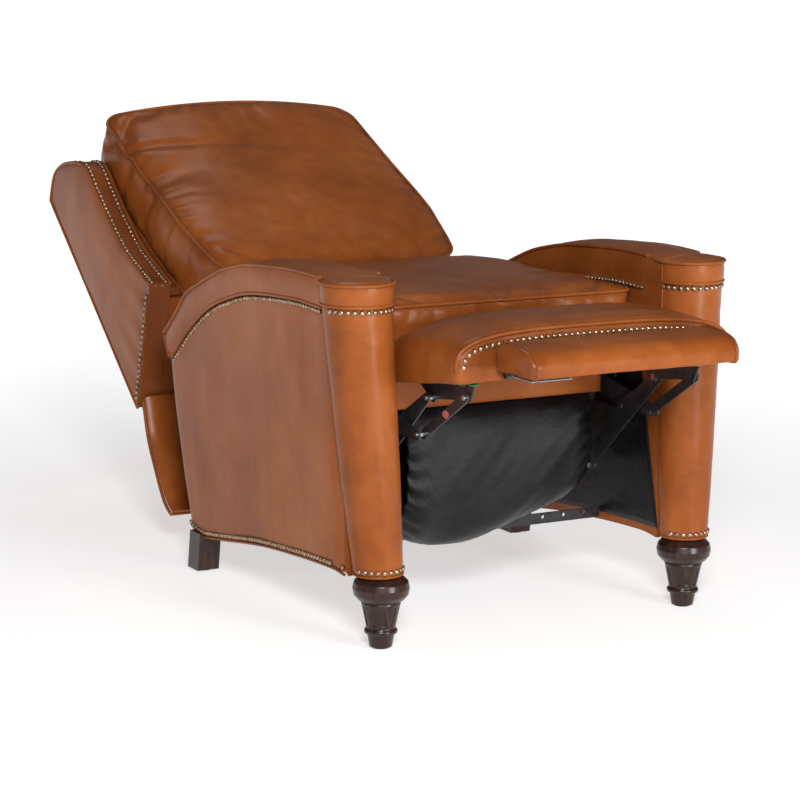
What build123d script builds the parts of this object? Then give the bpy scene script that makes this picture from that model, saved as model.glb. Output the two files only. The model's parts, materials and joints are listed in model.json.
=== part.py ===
"""Recliner armchair: turned legs, upholstered arms, sliding seat, reclining back and linked footrest.

Frame: +X is the sitter's left, +Y the back, +Z up, with the floor at Z = 0. The chair is drawn fully
reclined. Side outlines are (y, z) points measured from the front leg axis, in millimetres.
"""
from build123d import *
from math import pi
import os

os.makedirs("parts", exist_ok=True)

# ---- driving dimensions ----
LEG_AXIS_Y = -547.0  # front leg axis, in the chair's own frame
LEG_X = 310.0
SEAT_HALF = 268.0  # half-width of the seat cushion and footrest pad
ARM_INNER_X = 272.0
LINING = 2.0
ARM_CORE_X = 350.0  # outer face of the arm's core
ARM_OUTER_LOW = 358.0  # outer face of the leather panel at floor level
ARM_FLARE = 0.036  # how far the panel leans out for each unit of height
ARM_BAND_X = 383.0
BACK_HALF = 345.0
WING_INNER_X = 300.0
NAIL_R = 5.2
NAIL_PITCH = 11.6
STEEL = 3.0  # thickness of the mechanism's plates
LAYER = 6.5  # from one plate layer to the next
LINK_HALF = 9.0
PIN_R = 4.0
RUNNING_GAP = 0.08

# ---- mechanism pivots, chair reclined ----
BACK_PIVOT = (700.0, 230.0)
PIVOT_A0 = (222.8, 401.3)
PIVOT_A1 = (101.5, 357.0)
PIVOT_B1 = (-20.0, 428.0)
PIVOT_C0 = (329.0, 314.8)
PIVOT_C1 = (202.4, 229.5)
PIVOT_D0 = (-0.2, 362.0)
PIVOT_D1 = (-136.0, 446.0)
FLIP_PIVOT = (-178.0, 485.0)

# ---- plate layers, inner faces, from the innermost outwards ----
BRACKET_X = 221.0
LINK_D_X = BRACKET_X + LAYER
LINK_B_X = LINK_D_X + LAYER
LINK_A_X = LINK_B_X + LAYER
LINK_C_X = LINK_A_X + LAYER
PLATE_X = LINK_C_X + LAYER
PLATE_OUT_X = PLATE_X + STEEL

# ---- side outlines ----
ARM_TOP = [(43, 624), (160, 629), (229, 627), (354, 617), (485, 590), (570, 558), (635, 530), (675, 494),
           (743, 440)]
BAND_LOW = [(43, 577), (106, 577), (197, 578), (356, 566), (452, 545), (540, 515), (627, 465), (716, 398)]
ARM_REAR = [(731, 389), (723, 314), (706, 239), (689, 165), (667, 82)]
ARM_BOTTOM = [(40, 123), (95, 125), (209, 119), (368, 105), (529, 81), (604, 71), (648, 75), (667, 82)]
BACK_LOW = (948, 259)
BACK_TOP = (1394, 627)
BACK_CROWN = [(1369, 682), (1253, 717)]
WING_FRONT = [(1204, 713), (1153, 671), (1087, 618), (1013, 566), (939, 531), (880, 505)]
CUSHION_TOP = (1256, 807)
CUSHION_SLOPE = 25.8
CUSHION_THICK = 120.0
CUSHION_LENGTH = 490.0
TAIL_LINE = [(938, 252), (920, 199), (887, 145), (849, 92), (816, 69)]


def side(x):
    """Plane facing +X at the given x: sketch coordinates are (y from the front leg axis, z)."""
    return Plane(origin=(x, LEG_AXIS_Y, 0), x_dir=(0, 1, 0), z_dir=(1, 0, 0))


def level(z):
    """Horizontal plane at height z: sketch coordinates are (x, y from the front leg axis)."""
    return Plane(origin=(0, LEG_AXIS_Y, z), x_dir=(1, 0, 0), z_dir=(0, 0, 1))


def facing(y):
    """Plane facing the front at the given y: sketch coordinates are (x, z)."""
    return Plane(origin=(0, LEG_AXIS_Y + y, 0), x_dir=(1, 0, 0), z_dir=(0, -1, 0))


def save(piece, name):
    """Label a finished piece and write it as its own file."""
    piece.part.label = name
    export_step(piece.part, f"parts/{name}.step")


def save_pair(piece, name):
    """Write the sitter's left piece and its mirror image on the right."""
    save(piece, f"{name}_left")
    with BuildPart() as twin:
        mirror(piece.part, about=Plane.YZ)
    save(twin, f"{name}_right")


# ---- front legs: turned wood with a ring bead, a fluted taper and a bun ----
FOOT_Z = 3.0
with BuildPart() as leg_front:
    with BuildSketch(side(0)):
        with BuildLine():
            Polyline((0, FOOT_Z), (20, FOOT_Z), (22.5, 24), (25, 26))
            ThreePointArc((25, 26), (28.5, 30), (25, 34))
            Polyline((25, 34), (25.5, 38), (34, 80), (30, 83))
            ThreePointArc((30, 83), (49, 107), (24, 127))
            Polyline((24, 127), (0, 127), (0, FOOT_Z))
        make_face()
    revolve(axis=Axis((0, LEG_AXIS_Y, 0), (0, 0, 1)))
    with Locations(Location((0, LEG_AXIS_Y, 58))):
        with PolarLocations(33.5, 10):
            Cylinder(2.8, 32, mode=Mode.SUBTRACT)
with BuildPart() as leg_front_placed:
    with Locations((LEG_X, 0, 0)):
        add(leg_front.part)
save_pair(leg_front_placed, "leg_front")

# ---- rear legs: square blocks raked slightly backwards ----
REAR_LEG_TOP = 76.0
REAR_LEG = 44.0
with BuildPart() as leg_rear:
    with BuildSketch(level(FOOT_Z)):
        with Locations((345, 640)):
            Rectangle(REAR_LEG, REAR_LEG)
    with BuildSketch(level(REAR_LEG_TOP)):
        with Locations((345, 629)):
            Rectangle(REAR_LEG, REAR_LEG)
    loft()
save_pair(leg_rear, "leg_rear")

with BuildPart() as foot_glides:
    with BuildSketch(level(0)):
        with Locations((LEG_X, 0), (-LEG_X, 0), (345, 640), (-345, 640)):
            Circle(14)
    extrude(amount=FOOT_Z)
save(foot_glides, "foot_glides")

# ---- posts: tapered round columns with a cap ----
POST_BASE = (313.0, 6.0, 128.0, 42.0)
POST_MID = (325.0, 26.0, 385.0, 53.4)
POST_TOP = (336.0, 43.0, 585.0, 59.0)
POST_CAP_R = 62.0
with BuildPart() as post:
    for x, y, z, r in (POST_BASE, POST_MID, POST_TOP):
        with BuildSketch(level(z)):
            with Locations((x, y)):
                Circle(r)
    loft()
    with BuildSketch(level(POST_TOP[2])):
        with Locations(POST_TOP[:2]):
            Circle(POST_CAP_R)
    extrude(amount=44)
    fillet(post.faces().sort_by(Axis.Z)[-1].edges(), 11)
save_pair(post, "arm_post")

# ---- arm core: the framed and padded body of each arm ----
with BuildPart() as arm_core:
    with BuildSketch(side(ARM_INNER_X + LINING)):
        with BuildLine():
            Spline(*BAND_LOW)
            Polyline(BAND_LOW[-1], *ARM_REAR)
            Polyline(*ARM_BOTTOM)
            Line(ARM_BOTTOM[0], BAND_LOW[0])
        make_face()
    extrude(amount=ARM_CORE_X - ARM_INNER_X - LINING)
    add(post.part, mode=Mode.SUBTRACT)
    add(leg_rear.part, mode=Mode.SUBTRACT)
save_pair(arm_core, "arm_frame")

panel_face = Plane(origin=(ARM_OUTER_LOW, 0, 0), x_dir=(0, 1, 0), z_dir=(1, 0, -ARM_FLARE))
with BuildPart() as arm_panel:
    with BuildSketch(side(ARM_CORE_X)):
        with BuildLine():
            Spline(*BAND_LOW)
            Polyline(BAND_LOW[-1], *ARM_REAR)
            Polyline(*ARM_BOTTOM)
            Line(ARM_BOTTOM[0], BAND_LOW[0])
        make_face()
    extrude(amount=60)
    split(bisect_by=panel_face, keep=Keep.BOTTOM)
    add(post.part, mode=Mode.SUBTRACT)
    add(leg_rear.part, mode=Mode.SUBTRACT)
save_pair(arm_panel, "arm_panel")

with BuildPart() as arm_pad:
    with BuildSketch(side(ARM_INNER_X)):
        with BuildLine():
            Spline(*ARM_TOP)
            Line(ARM_TOP[-1], BAND_LOW[-1])
            Spline(*BAND_LOW)
            Line(BAND_LOW[0], ARM_TOP[0])
        make_face()
    extrude(amount=ARM_BAND_X - ARM_INNER_X)
    with Locations((POST_TOP[0], LEG_AXIS_Y + POST_TOP[1], POST_TOP[2])):
        Cylinder(POST_CAP_R + 0.2, 200, mode=Mode.SUBTRACT)
save_pair(arm_pad, "arm_pad")

with BuildPart() as arm_lining:
    with BuildSketch(side(ARM_INNER_X)):
        with BuildLine():
            Line((30, 140), (80, 365))
            ThreePointArc((80, 365), (115, 440), (190, 470))
            Polyline((190, 470), (600, 460), (700, 385), (660, 95), (368, 120), (209, 134), (30, 140))
        make_face()
    extrude(amount=LINING)
    add(post.part, mode=Mode.SUBTRACT)
save_pair(arm_lining, "arm_lining")


def stations(wire, pitch=NAIL_PITCH):
    """Fractions along a wire that put nails at the given pitch, half a pitch in from each end."""
    count = int(wire.length / pitch)
    return [(i + 0.5) / count for i in range(count)]


def nail(plane):
    """Add one domed nail head standing on the given plane."""
    with Locations(plane.location):
        Sphere(NAIL_R, arc_size1=0, arc_size2=90, align=None)


def panel_nails(curve, lift):
    """Nails on the arm panel's leaning face, along a (y, z) curve moved up by lift."""
    for t in stations(curve):
        spot = curve.position_at(t)
        height = spot.Y + lift
        x = ARM_OUTER_LOW + ARM_FLARE * height
        nail(Plane(origin=(x, LEG_AXIS_Y + spot.X, height), z_dir=(1, 0, -ARM_FLARE)))


with BuildLine() as band_row:
    Spline(*[p for p in BAND_LOW if p[0] > 100])
with BuildLine() as hem_row:
    Spline(*[p for p in ARM_BOTTOM if 80 < p[0] < 660])
with BuildPart() as arm_nails:
    panel_nails(band_row.edge(), -NAIL_R - 1)
    panel_nails(hem_row.edge(), NAIL_R + 3)
    for x, y, z, r in POST_BASE, POST_TOP:
        height = z + NAIL_R + 1 if z < 300 else z - NAIL_R - 1
        count = int(2 * pi * r / NAIL_PITCH)
        for i in range(count):
            angle = 360 * i / count
            if 192 < angle < 350:
                out = Vector(1, 0, 0).rotate(Axis.Z, angle)
                centre = Vector(x, LEG_AXIS_Y + y, height)
                nail(Plane(origin=centre + out * (r + 0.3), z_dir=out))
save_pair(arm_nails, "arm_nails")

# ---- fixed bars between the arms ----
with BuildPart() as rear_rail:
    with BuildSketch(facing(672)):
        with Locations((0, 118)):
            Rectangle(2 * ARM_INNER_X, 64)
    extrude(amount=22)
save(rear_rail, "rear_rail")

BAR_Y = 222.0
BAR_Z = 122.0
BAR_SIZE = 20.0
with BuildPart() as cross_bar:
    with BuildSketch(side(-ARM_INNER_X)):
        Polygon((BAR_Y, BAR_Z), (BAR_Y + BAR_SIZE, BAR_Z), (BAR_Y + BAR_SIZE, BAR_Z + STEEL),
                (BAR_Y + STEEL, BAR_Z + STEEL), (BAR_Y + STEEL, BAR_Z + BAR_SIZE), (BAR_Y, BAR_Z + BAR_SIZE),
                align=None)
    extrude(amount=2 * ARM_INNER_X)
    with Locations(facing(BAR_Y).location):
        for x in (150, 195, 240):
            with Locations((x, BAR_Z + 12), (-x, BAR_Z + 12)):
                Hole(3.5)
save(cross_bar, "cross_bar")

TRACK_Z = (340.0, 370.0)
TRACK_Y = (140.0, 690.0)
LIP = 4.5
TRACK_LIP_X = 260.0
with BuildPart() as slide_tracks:
    with BuildSketch(facing(TRACK_Y[1])):
        Polygon((ARM_INNER_X, TRACK_Z[0]), (ARM_INNER_X, TRACK_Z[1]), (TRACK_LIP_X, TRACK_Z[1]),
                (TRACK_LIP_X, TRACK_Z[1] - LIP), (268, TRACK_Z[1] - LIP), (268, TRACK_Z[0] + LIP),
                (TRACK_LIP_X, TRACK_Z[0] + LIP), (TRACK_LIP_X, TRACK_Z[0]), align=None)
    extrude(amount=TRACK_Y[1] - TRACK_Y[0])
    mirror(about=Plane.YZ)
save(slide_tracks, "slide_tracks")

# ---- seat: rails, springs, deck, cushion and side plates ----
RAIL_Z = (428.0, 466.0)
SEAT_FRONT_Y = 140.0
SEAT_REAR_Y = 650.0
RAIL_IN_X = 214.0
with BuildPart() as seat_rail:
    with BuildSketch(level(RAIL_Z[0])):
        with Locations(((RAIL_IN_X + PLATE_X) / 2, (SEAT_FRONT_Y + SEAT_REAR_Y) / 2)):
            Rectangle(PLATE_X - RAIL_IN_X, SEAT_REAR_Y - SEAT_FRONT_Y)
    extrude(amount=RAIL_Z[1] - RAIL_Z[0])
save_pair(seat_rail, "seat_rail")

with BuildPart() as seat_front_rail:
    with BuildSketch(facing(SEAT_FRONT_Y + 25)):
        with Locations((0, (380 + RAIL_Z[1]) / 2)):
            Rectangle(2 * RAIL_IN_X, RAIL_Z[1] - 380)
    extrude(amount=25)
save(seat_front_rail, "seat_front_rail")

with BuildPart() as front_rail_cover:
    with BuildSketch(facing(SEAT_FRONT_Y)):
        with Locations((0, (378 + RAIL_Z[1]) / 2)):
            Rectangle(2 * RAIL_IN_X, RAIL_Z[1] - 378)
    extrude(amount=STEEL)
save(front_rail_cover, "front_rail_cover")

with BuildPart() as seat_rear_rail:
    with BuildSketch(facing(SEAT_REAR_Y)):
        with Locations((0, (RAIL_Z[0] + RAIL_Z[1]) / 2)):
            Rectangle(2 * RAIL_IN_X, RAIL_Z[1] - RAIL_Z[0])
    extrude(amount=25)
save(seat_rear_rail, "seat_rear_rail")

SPRING_WIRE_R = 2.0
SPRING_Z = 460.0
with BuildPart() as seat_springs:
    for x in (-160, -80, 0, 80, 160):
        with BuildSketch(Plane(origin=(x, LEG_AXIS_Y + SEAT_FRONT_Y + 25, SPRING_Z), z_dir=(0, 1, 0))):
            Circle(SPRING_WIRE_R)
        extrude(amount=SEAT_REAR_Y - SEAT_FRONT_Y - 50)
save(seat_springs, "seat_springs")

CUSHION_Z = (470.0, 574.0)
with BuildPart() as seat_deck:
    with BuildSketch(level(RAIL_Z[1])):
        with Locations((0, (SEAT_FRONT_Y + SEAT_REAR_Y) / 2)):
            Rectangle(2 * PLATE_X, SEAT_REAR_Y - SEAT_FRONT_Y)
    extrude(amount=CUSHION_Z[0] - RAIL_Z[1])
save(seat_deck, "seat_deck")

SEAT_CUSHION_Y = (105.0, 598.0)
with BuildPart() as seat_cushion:
    with BuildSketch(level(CUSHION_Z[0])):
        with Locations((0, sum(SEAT_CUSHION_Y) / 2)):
            RectangleRounded(2 * SEAT_HALF, SEAT_CUSHION_Y[1] - SEAT_CUSHION_Y[0], 28)
    extrude(amount=CUSHION_Z[1] - CUSHION_Z[0])
    fillet(seat_cushion.edges().group_by(Axis.Z)[-1], 16)
    fillet(seat_cushion.edges().group_by(Axis.Z)[0], 10)
save(seat_cushion, "seat_cushion")


def pivot_hole(x, pivot, radius):
    """Cut a round hole along X through the current piece at a pivot."""
    with Locations(side(x - 1).location * Location((*pivot, 0))):
        Cylinder(radius, STEEL + 2, align=(Align.CENTER, Align.CENTER, Align.MIN), mode=Mode.SUBTRACT)


def link(x, pivots, half=LINK_HALF):
    """A flat steel link: the outline round its pivots, with a running hole at each one."""
    with BuildPart() as plate:
        with BuildSketch(side(x)):
            for pivot in pivots:
                with Locations(pivot):
                    Circle(half)
            make_hull()
        extrude(amount=STEEL)
        for pivot in pivots:
            pivot_hole(x, pivot, PIN_R + RUNNING_GAP)
    return plate


def pins(spans):
    """Pivot pins on both sides of the chair, each with a head on its inner end."""
    with BuildPart() as rivets:
        for inner_x, outer_x, pivot in spans:
            with BuildSketch(side(inner_x)):
                with Locations(pivot):
                    Circle(PIN_R)
            extrude(amount=outer_x - inner_x)
            with BuildSketch(side(inner_x)):
                with Locations(pivot):
                    Circle(PIN_R + 2)
            extrude(amount=-1.8)
        mirror(about=Plane.YZ)
    return rivets


with BuildPart() as mount_plate:
    with BuildSketch(side(PLATE_X)):
        Polygon((150, 460), (150, 400), (200, 386), (310, 300), (348, 300), (560, 330), (684, 212),
                (716, 212), (716, 250), (640, 400), (640, 460), align=None)
    extrude(amount=STEEL)
    for spot in PIVOT_A0, PIVOT_C0, BACK_PIVOT:
        pivot_hole(PLATE_X, spot, PIN_R + RUNNING_GAP)
save_pair(mount_plate, "mount_plate")

RUNNER_Y = (232.0, 560.0)
with BuildPart() as slide_runners:
    with BuildSketch(facing(RUNNER_Y[1])):
        with Locations(((PLATE_OUT_X + 267.5) / 2, sum(TRACK_Z) / 2)):
            Rectangle(267.5 - PLATE_OUT_X, TRACK_Z[1] - TRACK_Z[0] - 2 * LIP - 1)
    extrude(amount=RUNNER_Y[1] - RUNNER_Y[0])
    mirror(about=Plane.YZ)
save(slide_runners, "slide_runners")
save(pins([(LINK_A_X, PLATE_OUT_X, PIVOT_A0), (LINK_C_X, PLATE_OUT_X, PIVOT_C0),
           (LINK_C_X, PLATE_OUT_X, BACK_PIVOT)]), "plate_pins")

BAG_Y = (232.0, 330.0)
BAG_HALF = 190.0
with BuildPart() as mechanism_bag:
    with BuildSketch(side(-BAG_HALF)):
        with BuildLine():
            Line((BAG_Y[0], 378), (BAG_Y[1], 378))
            Line((BAG_Y[1], 378), (BAG_Y[1], 200))
            ThreePointArc((BAG_Y[1], 200), (sum(BAG_Y) / 2, 151), (BAG_Y[0], 200))
            Line((BAG_Y[0], 200), (BAG_Y[0], 378))
        make_face()
    extrude(amount=2 * BAG_HALF)
save(mechanism_bag, "mechanism_bag")

# ---- back: frame board, shell, wings, cushion, tail and steel arms ----
cushion_dir = Vector(1, 0, 0).rotate(Axis.Z, CUSHION_SLOPE)
cushion_in = Vector(0, -1, 0).rotate(Axis.Z, CUSHION_SLOPE)


def on_cushion(down, depth):
    """Point of the back's outline: down from the cushion's top corner, depth behind its front."""
    spot = Vector(*CUSHION_TOP) - cushion_dir * down + cushion_in * depth
    return spot.X, spot.Y


BOARD = 18.0
BOARD_LENGTH = CUSHION_LENGTH - 30
cushion_plane = Plane(
    origin=(0, LEG_AXIS_Y + CUSHION_TOP[0], CUSHION_TOP[1]),
    x_dir=(1, 0, 0),
    z_dir=(0, cushion_in.X, cushion_in.Y),
)
with BuildPart() as back_cushion:
    with BuildSketch(cushion_plane):
        Polygon((-290, 0), (290, 0), (270, CUSHION_LENGTH - 120), (266, CUSHION_LENGTH - 6),
                (-266, CUSHION_LENGTH - 6), (-270, CUSHION_LENGTH - 120), align=None)
    extrude(amount=CUSHION_THICK)
    fillet(back_cushion.edges().group_by(Axis.X)[0], 12)
    fillet(back_cushion.edges().group_by(Axis.X)[-1], 12)
save(back_cushion, "back_cushion")

with BuildPart() as back_frame:
    with BuildSketch(side(-WING_INNER_X)):
        Polygon(on_cushion(30, CUSHION_THICK), on_cushion(BOARD_LENGTH, CUSHION_THICK),
                on_cushion(BOARD_LENGTH, CUSHION_THICK + BOARD), on_cushion(30, CUSHION_THICK + BOARD),
                align=None)
    extrude(amount=2 * WING_INNER_X)
save(back_frame, "back_frame")

with BuildPart() as back_shell:
    with BuildSketch(side(-WING_INNER_X)):
        Polygon(BACK_LOW, BACK_TOP, BACK_CROWN[0], on_cushion(4, CUSHION_THICK), on_cushion(30, CUSHION_THICK),
                on_cushion(30, CUSHION_THICK + BOARD), on_cushion(BOARD_LENGTH, CUSHION_THICK + BOARD),
                (940, 290), align=None)
    extrude(amount=2 * WING_INNER_X)
save(back_shell, "back_shell")

with BuildPart() as wing:
    with BuildSketch(side(WING_INNER_X)):
        with BuildLine():
            Polyline(BACK_LOW, BACK_TOP, *BACK_CROWN, WING_FRONT[0])
            Spline(*WING_FRONT)
            Line(WING_FRONT[-1], BACK_LOW)
        make_face()
    extrude(amount=BACK_HALF - WING_INNER_X)
save_pair(wing, "wing")

TAIL_HALF = 335.0
TAIL_STEP = (-16, 10)  # from the tail's outer line to its inner one
with BuildPart() as tail_panel:
    with BuildSketch(side(-TAIL_HALF)):
        with BuildLine():
            Spline(*TAIL_LINE)
            inner_line = [(y + TAIL_STEP[0], z + TAIL_STEP[1]) for y, z in reversed(TAIL_LINE)]
            Line(TAIL_LINE[-1], inner_line[0])
            Spline(*inner_line)
            Line(inner_line[-1], TAIL_LINE[0])
        make_face()
    extrude(amount=2 * TAIL_HALF)
save(tail_panel, "tail_panel")

with BuildPart() as back_arm:
    with BuildSketch(side(LINK_C_X)):
        Polygon((684, 222), (700, 213), (936, 288), (912, 362), (890, 330), (712, 246), (690, 244),
                align=None)
    extrude(amount=STEEL)
    pivot_hole(LINK_C_X, BACK_PIVOT, PIN_R + RUNNING_GAP)
save_pair(back_arm, "back_arm")

with BuildLine() as wing_row:
    Spline(*WING_FRONT)
with BuildPart() as wing_nails:
    for t in stations(wing_row.edge()):
        spot = wing_row.edge().position_at(t)
        slope = wing_row.edge().tangent_at(t)
        for x in (WING_INNER_X + 8, BACK_HALF - 7):
            nail(Plane(origin=(x, LEG_AXIS_Y + spot.X, spot.Y + 0.3), z_dir=(0, slope.Y, -slope.X)))
save_pair(wing_nails, "wing_nails")

# ---- footrest links ----
link_a = link(LINK_A_X, [PIVOT_A0, PIVOT_A1, PIVOT_D0])
link_b = link(LINK_B_X, [PIVOT_C1, PIVOT_A1, PIVOT_B1])
link_c = link(LINK_C_X, [PIVOT_C0, PIVOT_C1])
link_d = link(LINK_D_X, [PIVOT_D0, PIVOT_D1])
save_pair(link_a, "link_a")
save_pair(link_b, "link_b")
for short_link, short_name in (link_c, "link_c"), (link_d, "link_d"):
    with BuildPart() as both_sides:
        add(short_link.part)
        mirror(about=Plane.YZ)
    save(both_sides, short_name)
save(pins([(LINK_B_X, LINK_C_X - 0.4, PIVOT_A1), (LINK_D_X, LINK_C_X - 0.4, PIVOT_D0)]), "link_a_pins")
save(pins([(BRACKET_X, LINK_A_X - 0.4, PIVOT_B1), (LINK_B_X, LINK_C_X - 0.4, PIVOT_C1)]), "link_b_pins")
save(pins([(LINK_D_X, LINK_B_X - 0.4, PIVOT_D1)]), "link_d_pins")

# ---- footrest: board, pad, brackets and flip pad ----
PAD_FRONT = (-170.0, 477.0)
PAD_REAR = (100.0, 438.0)
PLY = 14.0
PAD_SHOULDER_X = 205.0
pad_slope = (PAD_FRONT[1] - PAD_REAR[1]) / (PAD_REAR[0] - PAD_FRONT[0])


def under(y, rise=0.0):
    """Point above the footrest's underside at the given y."""
    return y, PAD_REAR[1] + (PAD_REAR[0] - y) * pad_slope + rise


with BuildPart() as footrest_board:
    with BuildSketch(side(-SEAT_HALF + 8)):
        Polygon(under(-164), under(94), under(94, PLY), under(-164, PLY), align=None)
    extrude(amount=2 * SEAT_HALF - 16)
save(footrest_board, "footrest_board")

with BuildPart() as footrest_pad:
    with BuildSketch(side(-SEAT_HALF)):
        with BuildLine():
            Polyline(under(-164), PAD_FRONT, (-170, 552))
            ThreePointArc((-170, 552), (-30, 556), (92, 520))
            Polyline((92, 520), (100, 508), PAD_REAR, under(94), under(94, PLY), under(-164, PLY),
                     under(-164))
        make_face()
    extrude(amount=2 * SEAT_HALF)
    with BuildSketch(facing(PAD_REAR[0] + 10)):
        with BuildLine():
            Polyline((-PAD_SHOULDER_X, 570), (PAD_SHOULDER_X, 570))
            ThreePointArc((PAD_SHOULDER_X, 570), (SEAT_HALF - 12, 535), (SEAT_HALF, 492))
            Polyline((SEAT_HALF, 492), (SEAT_HALF, 430), (-SEAT_HALF, 430), (-SEAT_HALF, 492))
            ThreePointArc((-SEAT_HALF, 492), (12 - SEAT_HALF, 535), (-PAD_SHOULDER_X, 570))
        make_face()
    extrude(amount=300, mode=Mode.INTERSECT)
save(footrest_pad, "footrest_pad")

with BuildPart() as footrest_nails:
    row = 2 * PAD_SHOULDER_X
    count = int(row / NAIL_PITCH)
    for i in range(count):
        x = -PAD_SHOULDER_X + (i + 0.5) * row / count
        nail(Plane(origin=(x, LEG_AXIS_Y - 170.2, 544), z_dir=(0, -1, 0)))
save(footrest_nails, "footrest_nails")

with BuildPart() as footrest_brackets:
    with BuildSketch(side(BRACKET_X)):
        with Locations(PIVOT_B1, PIVOT_D1):
            Circle(LINK_HALF)
        Polygon(under(-160), under(30), (PIVOT_B1[0] + 8, PIVOT_B1[1] - 4),
                (PIVOT_D1[0] - 8, PIVOT_D1[1] - 4), align=None)
    extrude(amount=STEEL)
    pivot_hole(BRACKET_X, PIVOT_B1, PIN_R + RUNNING_GAP)
    pivot_hole(BRACKET_X, PIVOT_D1, PIN_R + RUNNING_GAP)
    add(footrest_board.part, mode=Mode.SUBTRACT)
    mirror(about=Plane.YZ)
save(footrest_brackets, "footrest_brackets")

FLIP_Y = (-300.0, -186.0)
FLIP_Z = (497.0, 545.0)
FLIP_HALF = 203.0
with BuildPart() as flip_board:
    with BuildSketch(level(FLIP_Z[0])):
        with Locations((0, sum(FLIP_Y) / 2)):
            RectangleRounded(2 * FLIP_HALF - 22, FLIP_Y[1] - FLIP_Y[0] - 8, 12)
    extrude(amount=12)
save(flip_board, "flip_board")

with BuildPart() as flip_pad:
    with BuildSketch(side(-FLIP_HALF)):
        with BuildLine():
            Polyline((FLIP_Y[1], FLIP_Z[0]), (FLIP_Y[0], FLIP_Z[0]), (FLIP_Y[0], 524))
            ThreePointArc((FLIP_Y[0], 524), (-270, 543), (-235, FLIP_Z[1]))
            Polyline((-235, FLIP_Z[1]), (-196, FLIP_Z[1]), (FLIP_Y[1], 535), (FLIP_Y[1], FLIP_Z[0]))
        make_face()
    extrude(amount=2 * FLIP_HALF)
    add(flip_board.part, mode=Mode.SUBTRACT)
save(flip_pad, "flip_pad")


def knuckles(x_from, x_to, leaf):
    """One side's hinge leaf with its knuckle, on both sides of the chair."""
    with BuildPart() as hinge:
        with BuildSketch(side(x_from)):
            with Locations(FLIP_PIVOT):
                Circle(5)
            Polygon(*leaf, align=None)
        extrude(amount=x_to - x_from)
        mirror(about=Plane.YZ)
    return hinge


save(knuckles(150, 164, [(-182, 483), (-174, 483), (-170.2, 477), (-170.2, 497), (-174, 490), (-182, 490)]),
     "flip_hinge_fixed")
save(knuckles(165, 179, [(-181, 482), (-175, 482), (-173.5, 488), (-188, 497), (-194, 497), (-181.5, 490)]),
     "flip_hinge_moving")
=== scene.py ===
"""Looks of a reclined leather armchair: upholstery, nail trim, turned legs, cloth bag and steel linkage.

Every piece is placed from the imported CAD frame. Outlines are (y, z) points in millimetres measured
from the front leg axis, with X to the sitter's left, Y to the back and Z up.
"""

import json
import logging
import math
from dataclasses import dataclass, field
from enum import Enum
from typing import Callable, Iterable, Sequence

import bmesh
import bpy
import numpy as np
from mathutils import Matrix, Vector, noise

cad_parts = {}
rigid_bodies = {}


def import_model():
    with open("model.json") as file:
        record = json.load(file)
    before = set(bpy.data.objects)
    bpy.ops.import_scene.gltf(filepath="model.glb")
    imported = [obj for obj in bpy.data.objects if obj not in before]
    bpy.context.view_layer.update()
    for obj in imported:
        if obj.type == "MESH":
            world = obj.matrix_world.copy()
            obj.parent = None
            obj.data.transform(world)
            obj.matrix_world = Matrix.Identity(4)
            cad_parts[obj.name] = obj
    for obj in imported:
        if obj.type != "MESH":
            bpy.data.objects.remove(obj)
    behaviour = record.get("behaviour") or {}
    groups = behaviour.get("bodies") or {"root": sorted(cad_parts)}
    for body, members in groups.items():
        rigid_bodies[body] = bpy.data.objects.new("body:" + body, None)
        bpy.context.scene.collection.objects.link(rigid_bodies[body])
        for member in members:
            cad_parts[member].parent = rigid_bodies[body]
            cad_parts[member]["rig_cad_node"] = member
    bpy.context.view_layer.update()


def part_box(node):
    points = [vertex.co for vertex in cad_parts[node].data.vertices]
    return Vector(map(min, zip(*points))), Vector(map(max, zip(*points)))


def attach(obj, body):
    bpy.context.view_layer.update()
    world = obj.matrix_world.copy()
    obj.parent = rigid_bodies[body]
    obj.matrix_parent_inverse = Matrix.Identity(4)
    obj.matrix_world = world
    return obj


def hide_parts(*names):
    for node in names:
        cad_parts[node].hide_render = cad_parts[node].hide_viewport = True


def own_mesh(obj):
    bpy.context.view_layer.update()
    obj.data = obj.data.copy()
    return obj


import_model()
LOG = logging.getLogger("recliner")

MM = 0.001
LEG_BOX = [np.array(corner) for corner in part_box("leg_front_left")]
LEG_X, LEG_Y = (LEG_BOX[0] + LEG_BOX[1])[:2] / 2
ARM_INNER = 1000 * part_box("arm_pad_left")[0][0]
BAND_OUTER = 1000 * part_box("arm_pad_left")[1][0]
SEAT_HALF = 1000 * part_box("seat_cushion")[1][0]
WING_OUTER = 1000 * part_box("wing_left")[1][0]
NAIL_RADIUS = 4.8
NAIL_PITCH = 11.6
WELT_RADIUS = 3.4


class Side(Enum):
    """The two sides of the chair, with the sign of X on each."""

    LEFT = 1
    RIGHT = -1

    @property
    def label(self) -> str:
        """Lower-case name used in piece names."""
        return self.name.lower()


class Slot(Enum):
    """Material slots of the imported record."""

    LEATHER = "leather"
    WALNUT = "walnut"
    NAILS = "nailheads"
    STEEL = "black_steel"
    CLOTH = "black_cloth"
    PLASTIC = "glide_plastic"
    WOOD = "frame_wood"
    SPRING = "spring_steel"


# ---------------------------------------------------------------- shader maths


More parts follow.
